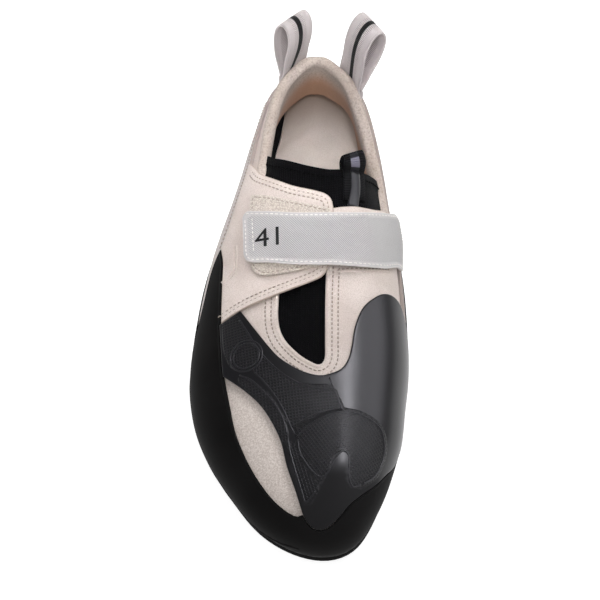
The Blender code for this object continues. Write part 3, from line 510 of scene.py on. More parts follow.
def laidPiece(name, loops, look, material, node=None, marks=None):
    # a pattern piece: its two faces stand off the last by low and high, joined by a rim that is a quarter circle;
    # hem is how far the top swells a little way in from the cut edge
    rounding = look["rounding"]
    hemWidth, supportIn, supportClear = 0.0016, 0.0008, 0.0006
    loops = [loop if signedArea(loop) > 0 else loop[::-1] for loop in loops]
    ways = [1] + [-1] * (len(loops) - 1)  # the outline draws in, its holes open out
    turns = np.linspace(0, math.pi / 2, 4)
    rings = [[loop + sideways(loop, True) * way * rounding * (1 - math.cos(t)) for t in turns]
             for loop, way in zip(loops, ways)]
    top = [ring[-1] for ring in rings]
    support = [ring + sideways(ring, True) * (supportIn * way) for ring, way in zip(top, ways)]
    inner = np.concatenate([lattice(support, look["spacing"])] + support)
    clear = np.minimum.reduce([awayFrom(inner, ring) for ring in top]) > supportClear
    places, faces = filled(top, inner[clear])
    whole = len(places)
    base, normal = last.lay(places)
    heights = (look["low"], look["high"])  # numbers, or functions of the place
    lowAt, highAt = [value(places) if callable(value) else np.full(whole, value) for value in heights]
    edge = np.minimum.reduce([awayFrom(places, loop) for loop in loops])
    highAt = highAt + look.get("hem", 0.0) * np.clip(1 - (edge / hemWidth - 1)**2, 0, 1)
    points = [base + normal * highAt[:, None], base + normal * lowAt[:, None]]
    flats = [places, places]
    takenFrom = [np.arange(whole)] * 2  # the place whose marks each point takes
    allFaces = [faces, faces[:, ::-1] + whole]
    count = 2 * whole
    for outline, bends in zip(top, rings):
        near = np.argmin(((places[None] - outline[:, None])**2).sum(axis=2), axis=1)
        previous = near
        for t, ring in list(zip(turns, bends))[-2::-1]:
            ringBase, ringNormal = last.lay(ring)
            drop = rounding * (1 - math.sin(t))
            points.append(ringBase + ringNormal * (highAt[near] - drop)[:, None])
            flats.append(ring)
            takenFrom.append(near)
            current = count + np.arange(len(ring))
            count += len(ring)
            allFaces += joinRings(previous, current)
            previous = current
        allFaces += joinRings(previous, near + whole)
    takenFrom = np.concatenate(takenFrom)
    allMarks = {key: values[takenFrom] for key, values in (marks(places) if marks else {}).items()}
    allMarks["edge"] = np.where(np.arange(count) < 2 * whole, edge[takenFrom], 0)
    part = (np.concatenate(points), [np.concatenate(allFaces)], np.concatenate(flats))
    return newPiece(name, [part], material, node, allMarks)


def carried(line, profile, closed=False, taper=0.0):
    # one part: a profile of (across, off the last) places carried along a line of the pattern,
    # drawn in to a quarter over the taper's length at both ends
    profile = np.asarray(profile, float)
    count, across = len(line), len(profile)
    run = runAlong(line)
    size = np.ones(count)
    if taper:
        size = 0.25 + 0.75 * np.sin(np.clip(np.minimum(run, run[-1] - run) / taper, 0, 1) * math.pi / 2)
    middle = profile[:, 1].mean()
    places = line[:, None] + sideways(line, closed)[:, None] * (profile[None, :, :1] * size[:, None, None])
    off = middle + (profile[None, :, 1] - middle) * size[:, None]
    points = last.stand(places.reshape(-1, 2), off.ravel())
    j = np.arange(across)
    k = (j + 1) % across
    i = np.arange(count if closed else count - 1)[:, None] * across
    after = (i + across) % (count * across)
    arrays = [np.stack([i + j, i + k, after + k, after + j], axis=2).reshape(-1, 4)]
    flat = np.stack([np.repeat(run, across), np.tile(profile[:, 0] + profile[:, 1], count)], axis=1)
    if not closed:
        middles = points.reshape(count, across, 3)[[0, -1]].mean(axis=1)
        first = np.full(across, len(points))
        end = (count - 1) * across
        caps = [np.stack([k, j, first], axis=1), np.stack([end + j, end + k, first + 1], axis=1)]
        arrays.append(np.concatenate(caps))
        points = np.concatenate([points, middles])
        flat = np.concatenate([flat, flat[[0, -1]]])
    return points, arrays, flat


def beadProfile(width, height, base):
    # half an ellipse that stands on the surface, its foot sunk a little
    t = np.linspace(0, math.pi, 7)
    arch = np.stack([np.cos(t) * width / 2, base + np.sin(t) * height], axis=1)
    return np.concatenate([arch, [(-width / 2, base - 0.0002), (width / 2, base - 0.0002)]])


def stitchRow(line, look, off):
    # one part: thread that rises from one needle hole and dips into the next, a small spindle for each stitch
    line = evenly(line, look["pitch"] / 8)
    run = runAlong(line)
    starts = np.arange(look["pitch"] * 0.3, run[-1] - look["length"], look["pitch"])
    at = starts[:, None] + look["length"] * np.array([0.0, 0.14, 0.5, 0.86, 1.0])
    places = np.stack([np.interp(at, run, line[:, k]) for k in range(2)], axis=2).reshape(-1, 2)
    base, normal = last.lay(places)
    middle = base + normal * np.reshape(off(places) if callable(off) else off, (-1, 1))
    middle = middle.reshape(len(starts), 5, 3)
    normal = normal.reshape(len(starts), 5, 3)
    lift = look["radius"] * np.array([-1.5, 0.1, 0.55, 0.1, -1.5])
    middle = middle + normal * lift[None, :, None]
    ahead = middle[:, -1] - middle[:, 0]
    ahead /= np.linalg.norm(ahead, axis=1)[:, None]
    beside = np.cross(np.repeat(ahead[:, None], 5, axis=1), normal)
    beside /= np.linalg.norm(beside, axis=2)[..., None]
    turn = (np.arange(6) / 6 * 2 * math.pi)[:, None]
    wide = look["radius"] * np.array([0.45, 0.95, 1.0, 0.95, 0.45])
    ring = beside[:, :, None] * np.cos(turn) + normal[:, :, None] * np.sin(turn)
    points = (middle[:, :, None] + ring * wide[None, :, None, None]).reshape(-1, 3)
    s = np.arange(len(starts))[:, None, None] * 30 + np.arange(4)[None, :, None] * 6
    j = np.arange(6)
    k = (j + 1) % 6
    quads = np.stack([s + j, s + k, s + 6 + k, s + 6 + j], axis=3).reshape(-1, 4)
    return points, [quads], np.stack([np.repeat(starts, 30), np.zeros(len(points))], axis=1)


def ribbonPiece(name, rows, material, node, across):
    # rows of matching outer and inner points, joined into one closed strip; the pattern runs across it and along it
    top = np.concatenate([r[0] for r in rows])
    bottom = np.concatenate([r[1] for r in rows])
    along = runAlong(np.array([(a + b).mean(axis=0) / 2 for a, b in rows]))
    n, m = len(rows), len(rows[0][0])
    i = np.arange(n - 1)[:, None] * m
    j = np.arange(m - 1)[None]
    quads = np.stack([i + j, i + j + 1, i + m + j + 1, i + m + j], axis=2).reshape(-1, 4)
    count = n * m
    edge = np.concatenate([np.arange(m), np.arange(1, n) * m + m - 1, (n - 1) * m + np.arange(m - 2, -1, -1),
                           np.arange(n - 2, 0, -1) * m])
    after = np.roll(edge, -1)
    walls = np.stack([after, edge, edge + count, after + count], axis=1)
    flat = np.stack([np.tile(across, n), np.repeat(along, m)], axis=1)
    part = (np.concatenate([top, bottom]), [np.concatenate([quads, quads[:, ::-1] + count, walls])],
            np.concatenate([flat, flat]))
    return newPiece(name, [part], material, node, {"outside": np.repeat([1.0, 0.0], count)})


def srgb(text):
    # an sRGB hex colour as linear values
    parts = [int(text[i:i + 2], 16) / 255 for i in (1, 3, 5)]
    return [c / 12.92 if c <= 0.04045 else ((c + 0.055) / 1.055)**2.4 for c in parts] + [1.0]


def addNode(tree, kind, *inputs, out=0, **settings):
    # a second word in kind is the node's operation; inputs, plain or linked, fill the sockets in order,
    # or as the keys of one dictionary say, and a hex text becomes its linear colour
    kind, _, operation = kind.partition(" ")
    node = tree.nodes.new("ShaderNode" + kind)
    if operation:
        node.operation = operation
    for key, value in settings.items():
        setattr(node, key, value)
    sockets = inputs[0] if inputs and isinstance(inputs[0], dict) else dict(enumerate(inputs))
    for key, value in sockets.items():
        if isinstance(value, bpy.types.NodeSocket):
            tree.links.new(value, node.inputs[key])
        else:
            node.inputs[key].default_value = srgb(value) if isinstance(value, str) else value
    return node.outputs[out]


def newFinish(name, look):
    # a material, the function that adds to its nodes, and the place on the shoe
    finish = bpy.data.materials.new(name)
    finish.use_nodes = True
    finish.diffuse_color = srgb(look["color"])
    plain = {"Roughness": look["roughness"], "Sheen Weight": look.get("sheen", 0.0), "Sheen Roughness": 0.5,
             "Specular IOR Level": look.get("specular", 0.4)}
    for key, value in plain.items():
        finish.node_tree.nodes["Principled BSDF"].inputs[key].default_value = value
    add = partial(addNode, finish.node_tree)
    return finish, add, add("TexCoord", out="Object")


def overlaid(add, color, *layers):
    # each cover lies over the colour so far by its share; one of (pattern, low, high) eases from 0 to 1 between them
    for share, cover in layers:
        if isinstance(share, tuple):
            share = add("MapRange", *share, interpolation_type="SMOOTHSTEP")
        color = add("Mix", {0: share, 6: color, 7: cover}, out=2, data_type="RGBA")
    return color


def finished(finish, add, color, reliefs, roughness=None):
    # links what varies over the surface; each relief is (pattern, height in metres, strength), one upon another
    shader = finish.node_tree.nodes["Principled BSDF"]
    normal = None
    for pattern, height, strength in reliefs:
        inputs = {"Height": pattern, "Distance": height, "Strength": strength}
        normal = add("Bump", dict(inputs, Normal=normal) if normal else inputs)
    for key, value in (("Base Color", color), ("Roughness", roughness), ("Normal", normal)):
        if value is not None:
            finish.node_tree.links.new(value, shader.inputs[key])
    return finish


def cutPlace(add):
    # the two places on the cut pattern, in metres
    flat = add("UVMap", uv_map="flat")
    return add("SeparateXYZ", flat), add("SeparateXYZ", flat, out=1)


def napFinish(name, look):
    # brushed fibre: dull, with a fine speckle over slow cloudy patches and a darker line along cut edges;
    # the eye is the fuzzier bare window, painted shade darkens the plush down from the rim, and painted shade darkens
    # the heel cup higher up its wall
    finish, add, place = newFinish(name, look)
    speckle = add("TexNoise", {"Vector": place, "Scale": 1 / look["nap"], "Detail": 3.0, "Roughness": 0.7})
    cloud = add("TexNoise", {"Vector": place, "Scale": 55.0})
    layers = [((cloud, 0.35, 0.65), look["color"]), ((speckle, 0.62, 0.25), look["speck"])]
    if look.get("eye"):
        grit = add("TexNoise", {"Vector": place, "Scale": 1500.0, "Detail": 3.0, "Roughness": 0.75})
        share = add("Math MULTIPLY", add("Attribute", out="Fac", attribute_name="eye"), 0.9)
        layers.append((share, overlaid(add, look["eyeSpeck"], ((grit, 0.35, 0.68), look["eye"]))))
    # painted shade: a warm brown over the plush by its mark
    if look.get("deep"):
        layers.append((add("Math MULTIPLY", add("Attribute", out="Fac", attribute_name="deep"), 0.85), look["deep"]))
    # painted shade: darker brown with height, up the heel cup's wall under the rim
    if look.get("paintedWallShade"):
        layers.append(((add("SeparateXYZ", place, out=2), look["wallShadeFrom"], look["wallShadeTo"], 0.0, 0.8), look["paintedWallShade"]))
    if look.get("edge"):
        layers.append(((add("Attribute", out="Fac", attribute_name="edge"), look["edgeWidth"], 0.0), look["edge"]))
    color = overlaid(add, look["dark"], *layers)
    return finished(finish, add, color, [(speckle, look["nap"] * 0.35, 0.6), (cloud, 0.0012, 0.4)])


def rubberFinish(name, look):
    # moulded sheet: faint cloudy polish and a fine matt grain
    finish, add, place = newFinish(name, look)
    cloud = add("TexNoise", {"Vector": place, "Scale": 38.0, "Detail": 3.0})
    fine = add("TexNoise", {"Vector": place, "Scale": 1900.0})
    color = overlaid(add, look["dark"], ((cloud, 0.3, 0.7), look["color"]))
    polish = add("MapRange", cloud, 0.0, 1.0, look["roughness"] - 0.05, look["roughness"] + 0.06)
    return finished(finish, add, color, [(fine, 0.00006, 0.5)], polish)


def patchFinish(name, look):
    # moulded rubber with a square mesh sunk into the panels, half-gloss on the lobes and matt at the tip, with
    # painted shade darkening the mesh's grooves and the tip;
    # the panel mark is the distance in from a panel's edge; the mesh is drawn coarser than its 0.9 mm, to show
    finish, add, place = newFinish(name, look)
    ways = list(zip(cutPlace(add), ("COSINE", "SINE")))
    turn = add("Attribute", out="Fac", attribute_name="meshTurn")
    tip = add("Attribute", out="Fac", attribute_name="tip")
    waves = []
    for quarter in (0.0, math.pi / 2):
        angle = add("Math ADD", turn, quarter)
        both = [add("Math MULTIPLY", way, add("Math " + circle, angle)) for way, circle in ways]
        waves.append(add("Math SINE", add("Math MULTIPLY", add("Math ADD", *both), 2 * math.pi / look["meshPitch"])))
    bars = add("Math MAXIMUM", *waves)
    inside = add("Attribute", out="Fac", attribute_name="panel")
    panel = add("MapRange", inside, 0.0, 0.0007, interpolation_type="SMOOTHSTEP")
    mesh = add("MapRange", bars, 0.1, 0.95, 0.0, panel, interpolation_type="SMOOTHSTEP")
    cloud = add("TexNoise", {"Vector": place, "Scale": 30.0})
    # painted shade: the mesh's grooves are painted darker than the rubber they are moulded in
    sunk = add("Math MULTIPLY", panel, add("Math MULTIPLY_ADD", mesh, -0.65, 0.45))
    color = overlaid(add, look["dark"], ((cloud, 0.3, 0.7), look["color"]), (sunk, look["meshGrooveShade"]),
                     # painted shade: the tip is painted darker than the rest of the moulding
                     (tip, look["tipShade"]))
    matt = add("Math MAXIMUM", panel, add("Math MULTIPLY", tip, 6.0))
    fine = add("TexNoise", {"Vector": place, "Scale": 2100.0})
    return finished(finish, add, color, [(fine, 0.00005, 0.5), (panel, 0.00012, 0.8), (mesh, 0.00024, 1.0)],
                    add("Math MULTIPLY_ADD", matt, 0.08, look["roughness"]))


def knitFinish(name, look):
    # stretch knit: soft and dark, in columns of slanted loops, drawn coarser than the real 0.5 mm
    finish, add, place = newFinish(name, look)
    u, v = cutPlace(add)
    rate = 2 * math.pi / look["pitch"]
    lean = add("Math ABSOLUTE", add("Math SINE", add("Math MULTIPLY", u, rate / 2)))
    course = add("Math SINE", add("Math MULTIPLY_ADD", v, rate * 1.3, add("Math MULTIPLY", lean, 3.0)))
    loops = add("Math MULTIPLY_ADD", lean, 0.7, add("Math MULTIPLY", course, 0.3))
    fuzz = add("TexNoise", {"Vector": place, "Scale": 2600.0, "Detail": 3.0, "Roughness": 0.7})
    color = overlaid(add, look["dark"], ((loops, 0.0, 0.9), look["color"]), ((fuzz, 0.55, 0.85), look["fuzz"]))
    return finished(finish, add, color, [(loops, 0.00028, 0.8), (fuzz, 0.0001, 0.5)])


def twillFinish(name, look):
    # woven twill: slanted ribs inside a plain folded border, dull with lit rib tops
    finish, add, place = newFinish(name, look)
    u, v = cutPlace(add)
    rate = 2 * math.pi / look["pitch"]
    edge = add("Attribute", out="Fac", attribute_name="edge")
    slant = add("Math MULTIPLY", add("Math MULTIPLY_ADD", v, look["slant"], u), rate)
    cross = add("Math MULTIPLY", add("Math MULTIPLY_ADD", u, -0.3, v), rate * 1.7)
    ribs = add("Math MULTIPLY_ADD", add("Math SINE", cross), 0.3, add("Math SINE", slant))
    inside = add("MapRange", edge, look["border"] - 0.0003, look["border"] + 0.0002, interpolation_type="SMOOTHSTEP")
    ribs = add("Math MULTIPLY", ribs, inside)
    fine = add("TexNoise", {"Vector": place, "Scale": 2400.0})
    woven = overlaid(add, look["dark"], ((ribs, -0.9, 0.6), look["color"]))
    bordered = overlaid(add, look["borderColor"], (inside, woven))
    color = overlaid(add, look["cutEdge"], ((edge, 0.0001, 0.0006), bordered))
    return finished(finish, add, color, [(fine, 0.00006, 0.6), (inside, -0.00018, 0.7), (ribs, 0.00013, 0.9)])


def webbingFinish(name, look):
    # woven tape: cords across the middle, smooth selvedges, a plain stripe; u runs across the tape and v along it
    finish, add, place = newFinish(name, look)
    u, v = cutPlace(add)
    off = add("Math ABSOLUTE", u)
    cords = add("Math SINE", add("Math MULTIPLY", v, 2 * math.pi / look["pitch"]))
    middle = add("MapRange", off, look["ribbed"] + 0.0003, look["ribbed"] - 0.0001, interpolation_type="SMOOTHSTEP")
    threadPitch = 0.0006
    thread = add("Math MULTIPLY", add("Math SINE", add("Math MULTIPLY", u, 2 * math.pi / threadPitch)), 0.35)
    height = add("Math MULTIPLY_ADD", cords, middle, thread)
    outside = add("Attribute", out="Fac", attribute_name="outside")
    half, blur = look["stripeHalf"], 0.00015
    stripe = add("MapRange", off, half + blur, half - blur, 0.0, outside, interpolation_type="SMOOTHSTEP")
    layers = [((height, -1.0, 0.5), look["color"]), (stripe, look["stripe"])]
    if look.get("markAt"):
        start, end = look["markAt"]
        begun = add("MapRange", v, start - 0.0001, start + 0.0001, 0.0, stripe, interpolation_type="SMOOTHSTEP")
        layers.append(((v, end + 0.0001, end - 0.0001, 0.0, begun), look["mark"]))
    return finished(finish, add, overlaid(add, look["dark"], *layers), [(height, 0.00012, 0.9)])


def pileFinish(name, look):
    # loop pile: crowded small loops, lit tips and dark gaps
    finish, add, place = newFinish(name, look)
    cells = add("TexVoronoi", {"Vector": place, "Scale": 1 / look["pitch"], "Randomness": 0.9})
    hairs = add("TexNoise", {"Vector": place, "Scale": 2.2 / look["pitch"], "Detail": 3.0, "Roughness": 0.7})
    height = add("Math SUBTRACT", add("Math MULTIPLY", hairs, 0.8), cells)
    color = overlaid(add, look["dark"], ((height, -0.45, 0.35), look["color"]))
    return finished(finish, add, color, [(height, look["pitch"] * 0.7, 0.8)])


def threadFinish(name, look):
    # twisted sewing thread: a broken sheen along the ply
    finish, add, place = newFinish(name, look)
    twist = add("TexNoise", {"Vector": place, "Scale": 3200.0, "Detail": 1.0})
    color = overlaid(add, look["dark"], ((twist, 0.3, 0.7), look["color"]))
    return finished(finish, add, color, [(twist, 0.00005, 0.6)])


def sharesPath(places, step=0.0015):
    # an open line with its points an even step apart
    return evenly(openLine(places, step), step)


def besideLine(line, by):
    # the line moved to its left
    return line + sideways(line, False) * by


def towardsLoop(line, loop, inside, at, reach=0.002):
    # 1 where the line's left side lies inside the loop, or outside it when asked, and -1 elsewhere
    return 1 if isWithin(besideLine(line, reach)[at:at + 1], loop)[0] == inside else -1


def shareAlong(places):
    # how far from heel to toe, 0 to 1
    return (lastSize["heelToOrigin"] - last.surface(places)[:, 1]) / lastSize["length"]


def easeStep(value, low, high):
    # 3 s^2 - 2 s^3 of the share between low and high
    share = np.clip((value - low) / (high - low), 0, 1)
    return share * share * (3 - 2 * share)


# the pieces: low and high are how far a piece's two faces stand off the last, spacing is its mesh's, and the second
# number in a line's call is the step between its points, all in metres
seamGap = 0.0001

# upper skin: one sheet of brushed microfibre with its collar, throat and ankle opening
suedeLook = {"color": "#ddd2cc", "dark": "#d2c6bf", "speck": "#bbada4", "nap": 0.00042, "roughness": 0.92,
             "sheen": 0.12, "edge": "#b7a79b", "edgeWidth": 0.0006, "specular": 0.2, "eye": "#ebe2dc",
             "eyeSpeck": "#c4b7af", "low": 0.0, "high": 0.0018, "spacing": 0.0026, "rounding": 0.0006}
suede = napFinish("brushed_microfibre_cream", suedeLook)
frontCollar = collarLine[:7] + patternLine("247 -352, 278 -345, 310 -300, 370 -235")
opening = closedLine(frontCollar + slotLine[1:] + ankleLine, 0.0022)
foot = footLine(0.0026)
eyeLoop = joinedLine([eyeLowerEdgeLine, (eyeUpperEdgeLine, -1)], 0.002)


def upperMarks(places):
    # 1 inside the bare window, fading over 2 mm outside it
    away = awayFrom(places, eyeLoop) * np.where(isWithin(places, eyeLoop), 1, -1)
    return {"eye": np.clip(away / 0.002 + 1, 0, 1)}


laidPiece("upperSkin", [foot, opening], suedeLook, suede, "upper", upperMarks)

# collar padding: a plush band from the rim down to a full lower edge
# the warm brown the plush takes down from the rim is painted shade
liningLook = {"color": "#ccc0b8", "dark": "#bfb2a9", "speck": "#a29489", "deep": "#c29272", "nap": 0.0009,
              "roughness": 0.97, "sheen": 0.15, "edge": None, "specular": 0.15, "bulge": 0.0024, "wall": 0.0025,
              "depth": 0.022, "high": -0.0001, "spacing": 0.0024, "rounding": 0.0004}
lining = napFinish("plush_lining_cream", liningLook)
rimHeel = openLine(ankleLine + frontCollar[:9], 0.0022)
paddingFoot = patternLine(
    "290 -420*, 285 -520, 270 -610, 220 -670, 160 -655, 130 -590, 105 -535, 74 -530, 42 -535, 15 -535, 0 540, "
    "15 535, 42 525, 70 530, 92 560, 106 640, 122 710, 160 780, 220 820, 300 800, 322 580*")
paddingLoop = np.concatenate([rimHeel[:-1], openLine([frontCollar[8]] + paddingFoot, 0.0022)[:-1]])


def paddingDepth(places):
    # thin at the rim, swelling to wall and bulge together over a part of its depth
    away = awayFrom(places, rimHeel, False)
    return -liningLook["wall"] - liningLook["bulge"] * easeStep(away, -0.006, liningLook["depth"] * 0.6)


def paddingMarks(places):
    # painted shade on the plush: 0 at the rim to 1 down inside, in the rim's shadow
    return {"deep": easeStep(awayFrom(places, rimHeel, False), 0.001, 0.013)}


collarPadding = laidPiece("collarPadding", [paddingLoop], dict(liningLook, low=paddingDepth), lining,
                          marks=paddingMarks)

# inside below the padding: a smooth heel cup over a dark side wall
# the fabric is painted lighter than its own cream: painted light in the shaded heel cup and footbed
footbedLook = dict(liningLook, deep=None, color="#ece3dd", dark="#e4dad3", speck="#dbd0c8", nap=0.0005, fillet=0.012,
                   # painted shade: the cup darkens to brown higher up its wall, between the two heights given next
                   bedHeight=0.0086, paintedWallShade="#8f7563", wallShadeFrom=0.018, wallShadeTo=0.056, spacing=0.0022, rounding=0.0003)
footbed = napFinish("footbed_fabric_cream_painted_light", footbedLook)
cupLine = patternLine(
    "20 -440, 30 -520, 34 -600, 35 -690, 40 -780, 52 -840, 70 -890, 100 -960, 60 -985, 20 -985, 0 985, 20 985, "
    "80 985, 160 985, 260 985, 330 960, 335 750, 290 640, 220 560, 150 450, 80 400, 30 400, 0 410")


def cupTop(places):
    # a quarter circle of this radius turns the wall into the footbed
    radius = footbedLook["fillet"]
    short = np.clip(1 - (last.surface(places)[:, 2] - footbedLook["bedHeight"]) / radius, 0, 1)
    return -0.0012 - radius * (1 - np.sqrt(1 - short**2))


def cupFoot(places):
    # one thickness of fabric under its face
    return cupTop(places) - 0.0008


laidPiece("heelCupLining", [closedLine(cupLine, 0.0022)], dict(footbedLook, low=cupFoot, high=cupTop), footbed)
# side wall of black stretch knit, the same as the tongue's; it spreads over the lateral inner wall and also stands in
# for the deep shade there, partly painted shade
knitLook = {"color": "#0e0e10", "dark": "#040405", "fuzz": "#18181b", "pitch": 0.0011, "roughness": 0.95,
            "sheen": 0.03, "specular": 0.05}
knit = knitFinish("stretch_knit_black", knitLook)
wallLine = patternLine(
    "10 -430, 100 -400, 200 -400, 300 -310, 350 -500, 352 -985, 200 -985, 80 -985, 30 -985, 12 -700")
wallLook = {"low": -0.0010, "high": -0.0002, "spacing": 0.0030, "rounding": 0.0003}
laidPiece("sideWallKnitAndShade", [closedLine(wallLine, 0.0025)], wallLook, knit)

# rim roll: the lining turned over the collar's edge
turn = np.linspace(0, 2 * math.pi, 12, endpoint=False)
rollLook = {"halfWidth": 0.0024, "halfHeight": 0.0029, "middle": -0.0006, "taper": 0.008}
rollUp = rollLook["middle"] + rollLook["halfHeight"] * np.sin(turn)
rollProfile = np.stack([rollLook["halfWidth"] * np.cos(turn), rollUp], axis=1)
rollLine = evenly(openLine(patternLine("338 520") + ankleLine + frontCollar[:9], 0.002), 0.002)
newPiece("collarRoll", [carried(rollLine, rollProfile, taper=rollLook["taper"])], lining)

# gusset: stretch knit below the throat, its hem folded and raised
gussetLook = {"low": -0.0020, "top": -0.0008, "hemRise": 0.0006, "hemFrom": 0.0042, "hemTo": 0.0048,
              "spacing": 0.0024, "rounding": 0.0004}
gussetLoop = closedLine(tongueLine, 0.0022)
hemLine = openLine(tongueLine[:10], 0.002)


def gussetTop(places):
    # raised by a second layer within the hem's width
    flat = easeStep(awayFrom(places, hemLine, False), gussetLook["hemFrom"], gussetLook["hemTo"])
    return gussetLook["top"] + gussetLook["hemRise"] * (1 - flat)


laidPiece("tongueGusset", [gussetLoop], dict(gussetLook, high=gussetTop), knit, "gusset")
print("upper and linings made")

# rand: one band of vulcanised rubber round the foot, matt and near black, with a low ridge along its medial side
randLook = {"color": "#121111", "dark": "#0b0a0a", "roughness": 0.74, "specular": 0.12, "low": 0.0014, "high": 0.0042,
            "spacing": 0.0026, "rounding": 0.0004, "ridge": (0.0011, 0.0003)}
randRubber = rubberFinish("vulcanised_rubber_black", randLook)
sequence = [heelSeamLine[::-1], slingFrontLateralLine[::-1], flapHemLine[::-1], lateralSeamLine, eyeLowerEdgeLine,
            toeSeamLine, medialSeamLine]
randTop = joinedLine(sequence, 0.0022)
laidPiece("rubberRand", [foot, narrowed(randTop, -seamGap)], randLook, randRubber, "rand")
randLine = sharesPath(patternLine(
    "640 -850, 721 -880, 772 -900, 827 -910, 882 -910, 928 -905, 972 -863, 993 -826"))
randBead = beadProfile(*randLook["ridge"], randLook["high"] - 0.00005)
newPiece("randRidge", [carried(randLine, randBead, taper=0.006)], randRubber)

# heel sling: coated fabric with a darker cut edge
slingLook = {"color": "#c9c0bd", "dark": "#bfb6b3", "speck": "#aaa09c", "nap": 0.00055, "roughness": 0.66,
             "sheen": 0.05, "edge": "#a39893", "edgeWidth": 0.0005, "specular": 0.35, "low": 0.0014, "high": 0.0036,
             "spacing": 0.0028, "rounding": 0.0005}
slingFabric = napFinish("coated_fabric_grey", slingLook)
slingTop = slingTopLateralLine[:-1] + slingTopMedialLine
slingLoop = joinedLine([heelSeamLine, (slingTop, -1), slingFrontLateralLine], 0.0022)
laidPiece("heelBand", [narrowed(slingLoop, seamGap)], slingLook, slingFabric, "heel_sling")

# toe patch: smooth lobes and meshed panels in one moulding
patchLook = {"color": "#111014", "dark": "#0e0d11", "meshGrooveShade": "#08080a", "tipShade": "#0c0b0d",
             "meshPitch": 0.0013, "roughness": 0.33, "specular": 0.44, "low": 0.0014, "high": 0.0045,
             "spacing": 0.0015, "rounding": 0.0005, "ridge": (0.0007, 0.00026), "ring": (0.0008, 0.00036),
             "radii": (0.0069, 0.0056)}
patchRubber = patchFinish("injected_rubber_charcoal", patchLook)
# painted highlight: the ridges are the patch's own rubber, painted lighter along their crests
ridgeHighlightRubber = rubberFinish("injected_rubber_ridges_painted_highlight", dict(patchLook, color="#242327", dark="#1e1d21"))
ridgeLines = [
    patternLine("728 -403, 759 -361, 798 -326, 831 -309, 862 -304, 882 -297"),
    patternLine("722 -483, 742 -428, 771 -386, 808 -347, 841 -331, 872 -341"),
    patternLine("790 -20, 831 12, 860 73, 845 194"),
    patternLine("888 -293, 877 -190, 877 -51, 851 130, 828 314, 823 455, 842 535, 868 562, 905 535, 940 455"),
    patternLine(
        "893 -291, 916 -305, 949 -291, 978 -258, 987 -203, 987 -133, 981 -58, 951 95, 945 190, 971 233, 970 358, "
        "945 435"),
    patternLine("879 -346, 917 -371, 971 -433, 984 -473, 987 -352"),
    patternLine("863 -300, 862 -224, 862 -124, 862 39"),
    patternLine("604 -440, 629 -410, 693 -348, 744 -274, 784 -184, 809 -81, 819 -7"),
]
ringLine = patternLine("656 -415, 673 -366, 699 -352, 718 -387, 720 -444, 702 -491, 676 -505, 658 -471")
sidePanel = patternLine(
    "585 -519, 596 -451, 648 -402, 708 -340, 755 -262, 788 -175, 803 -85, 815 -12, 836 22, 860 80, 866 20, "
    "866 -124, 866 -224, 867 -285, 858 -296, 831 -301, 798 -317, 757 -354, 722 -410, 705 -499, 655 -531")
eyePanel = patternLine("730 -488, 755 -414, 790 -361, 833 -336, 871 -342, 885 -383, 849 -393, 799 -416, 757 -461")
smallToePanel = patternLine(
    "889 -361, 904 -318, 932 -316, 965 -314, 986 -317, 988 -401, 984 -480, 970 -428, 941 -375, 911 -369")
bigToePanel = patternLine(
    "884 -286, 874 -190, 873 -51, 848 130, 824 314, 819 455, 838 540, 868 566, 907 540, 945 440, 970 328, 963 229, "
    "938 199, 958 57, 969 -70, 981 -151, 986 -252, 975 -283, 942 -286")
patchLoop = joinedLine([lateralSeamLine, eyeUpperEdgeLine, toeSeamLine, patchLobesLine, patchShoulderLine], 0.0016)
panels = [(narrowed(closedLine(line, 0.0015), -0.0009), turned) for line, turned in (
    (sidePanel, 0.1), (eyePanel, 0.1), (smallToePanel, 0.3), (bigToePanel, 0.62))]  # outline, turn of its mesh


def patchMarks(places):
    # distance in from the nearest panel's edge, that panel's turn, and the tip, matt and darkened by painted shade
    best = np.full(len(places), -1.0)
    turned = np.zeros(len(places))
    for loop, angle in panels:
        gap = awayFrom(places, loop) * np.where(isWithin(places, loop), 1, -1)
        turned = np.where(gap > best, angle, turned)
        best = np.maximum(best, gap)
    tip = easeStep(shareAlong(places), 0.870, 0.905) * easeStep(-best, -0.0004, 0.0002)
    return {"panel": best, "meshTurn": turned, "tip": tip}


laidPiece("toePatchMoulding", [narrowed(patchLoop, seamGap)], patchLook, patchRubber, "toe_patch",
          patchMarks)
ridge = beadProfile(*patchLook["ridge"], patchLook["high"] - 0.00005)
ringBead = beadProfile(*patchLook["ring"], patchLook["high"] - 0.00008)
beads = [carried(sharesPath(line, 0.001), ridge) for line in ridgeLines]
around = np.linspace(0, 2 * math.pi, 48, endpoint=False)
for radius in patchLook["radii"]:
    circle = last.spread(ringLine).mean(axis=0) + radius * np.stack([np.cos(around), np.sin(around)], axis=1)
    beads.append(carried(circle, ringBead, True))
newPiece("patchRidges", beads, ridgeHighlightRubber)
print("rubber made")

# closure flap of the upper's own microfibre
flapLook = {"low": 0.0022, "high": 0.0040, "spacing": 0.0024, "rounding": 0.0007, "hem": 0.0004,
            "seam": (0.0010, 0.0004)}
flapLoop = joinedLine([flapFreeEdgeLine, flapHemLine, slingTopLateralLine[:4],
                       [slingTopLateralLine[3], flapFreeEdgeLine[0]]], 0.0022)
laidPiece("closureFlap", [narrowed(flapLoop, 0.0003)], flapLook, suede, "flap")

# loop half of the closure, sewn on the flap
padLook = {"color": "#e0d7cd", "dark": "#bcb0a5", "pitch": 0.0007, "roughness": 1.0, "sheen": 0.3, "specular": 0.1,
           "low": 0.0038, "high": 0.0058, "spacing": 0.0022, "rounding": 0.0006}
pile = pileFinish("loop_pile_beige", padLook)
laidPiece("loopPad", [closedLine(padLine, 0.0020)], padLook, pile, "loop_pad")

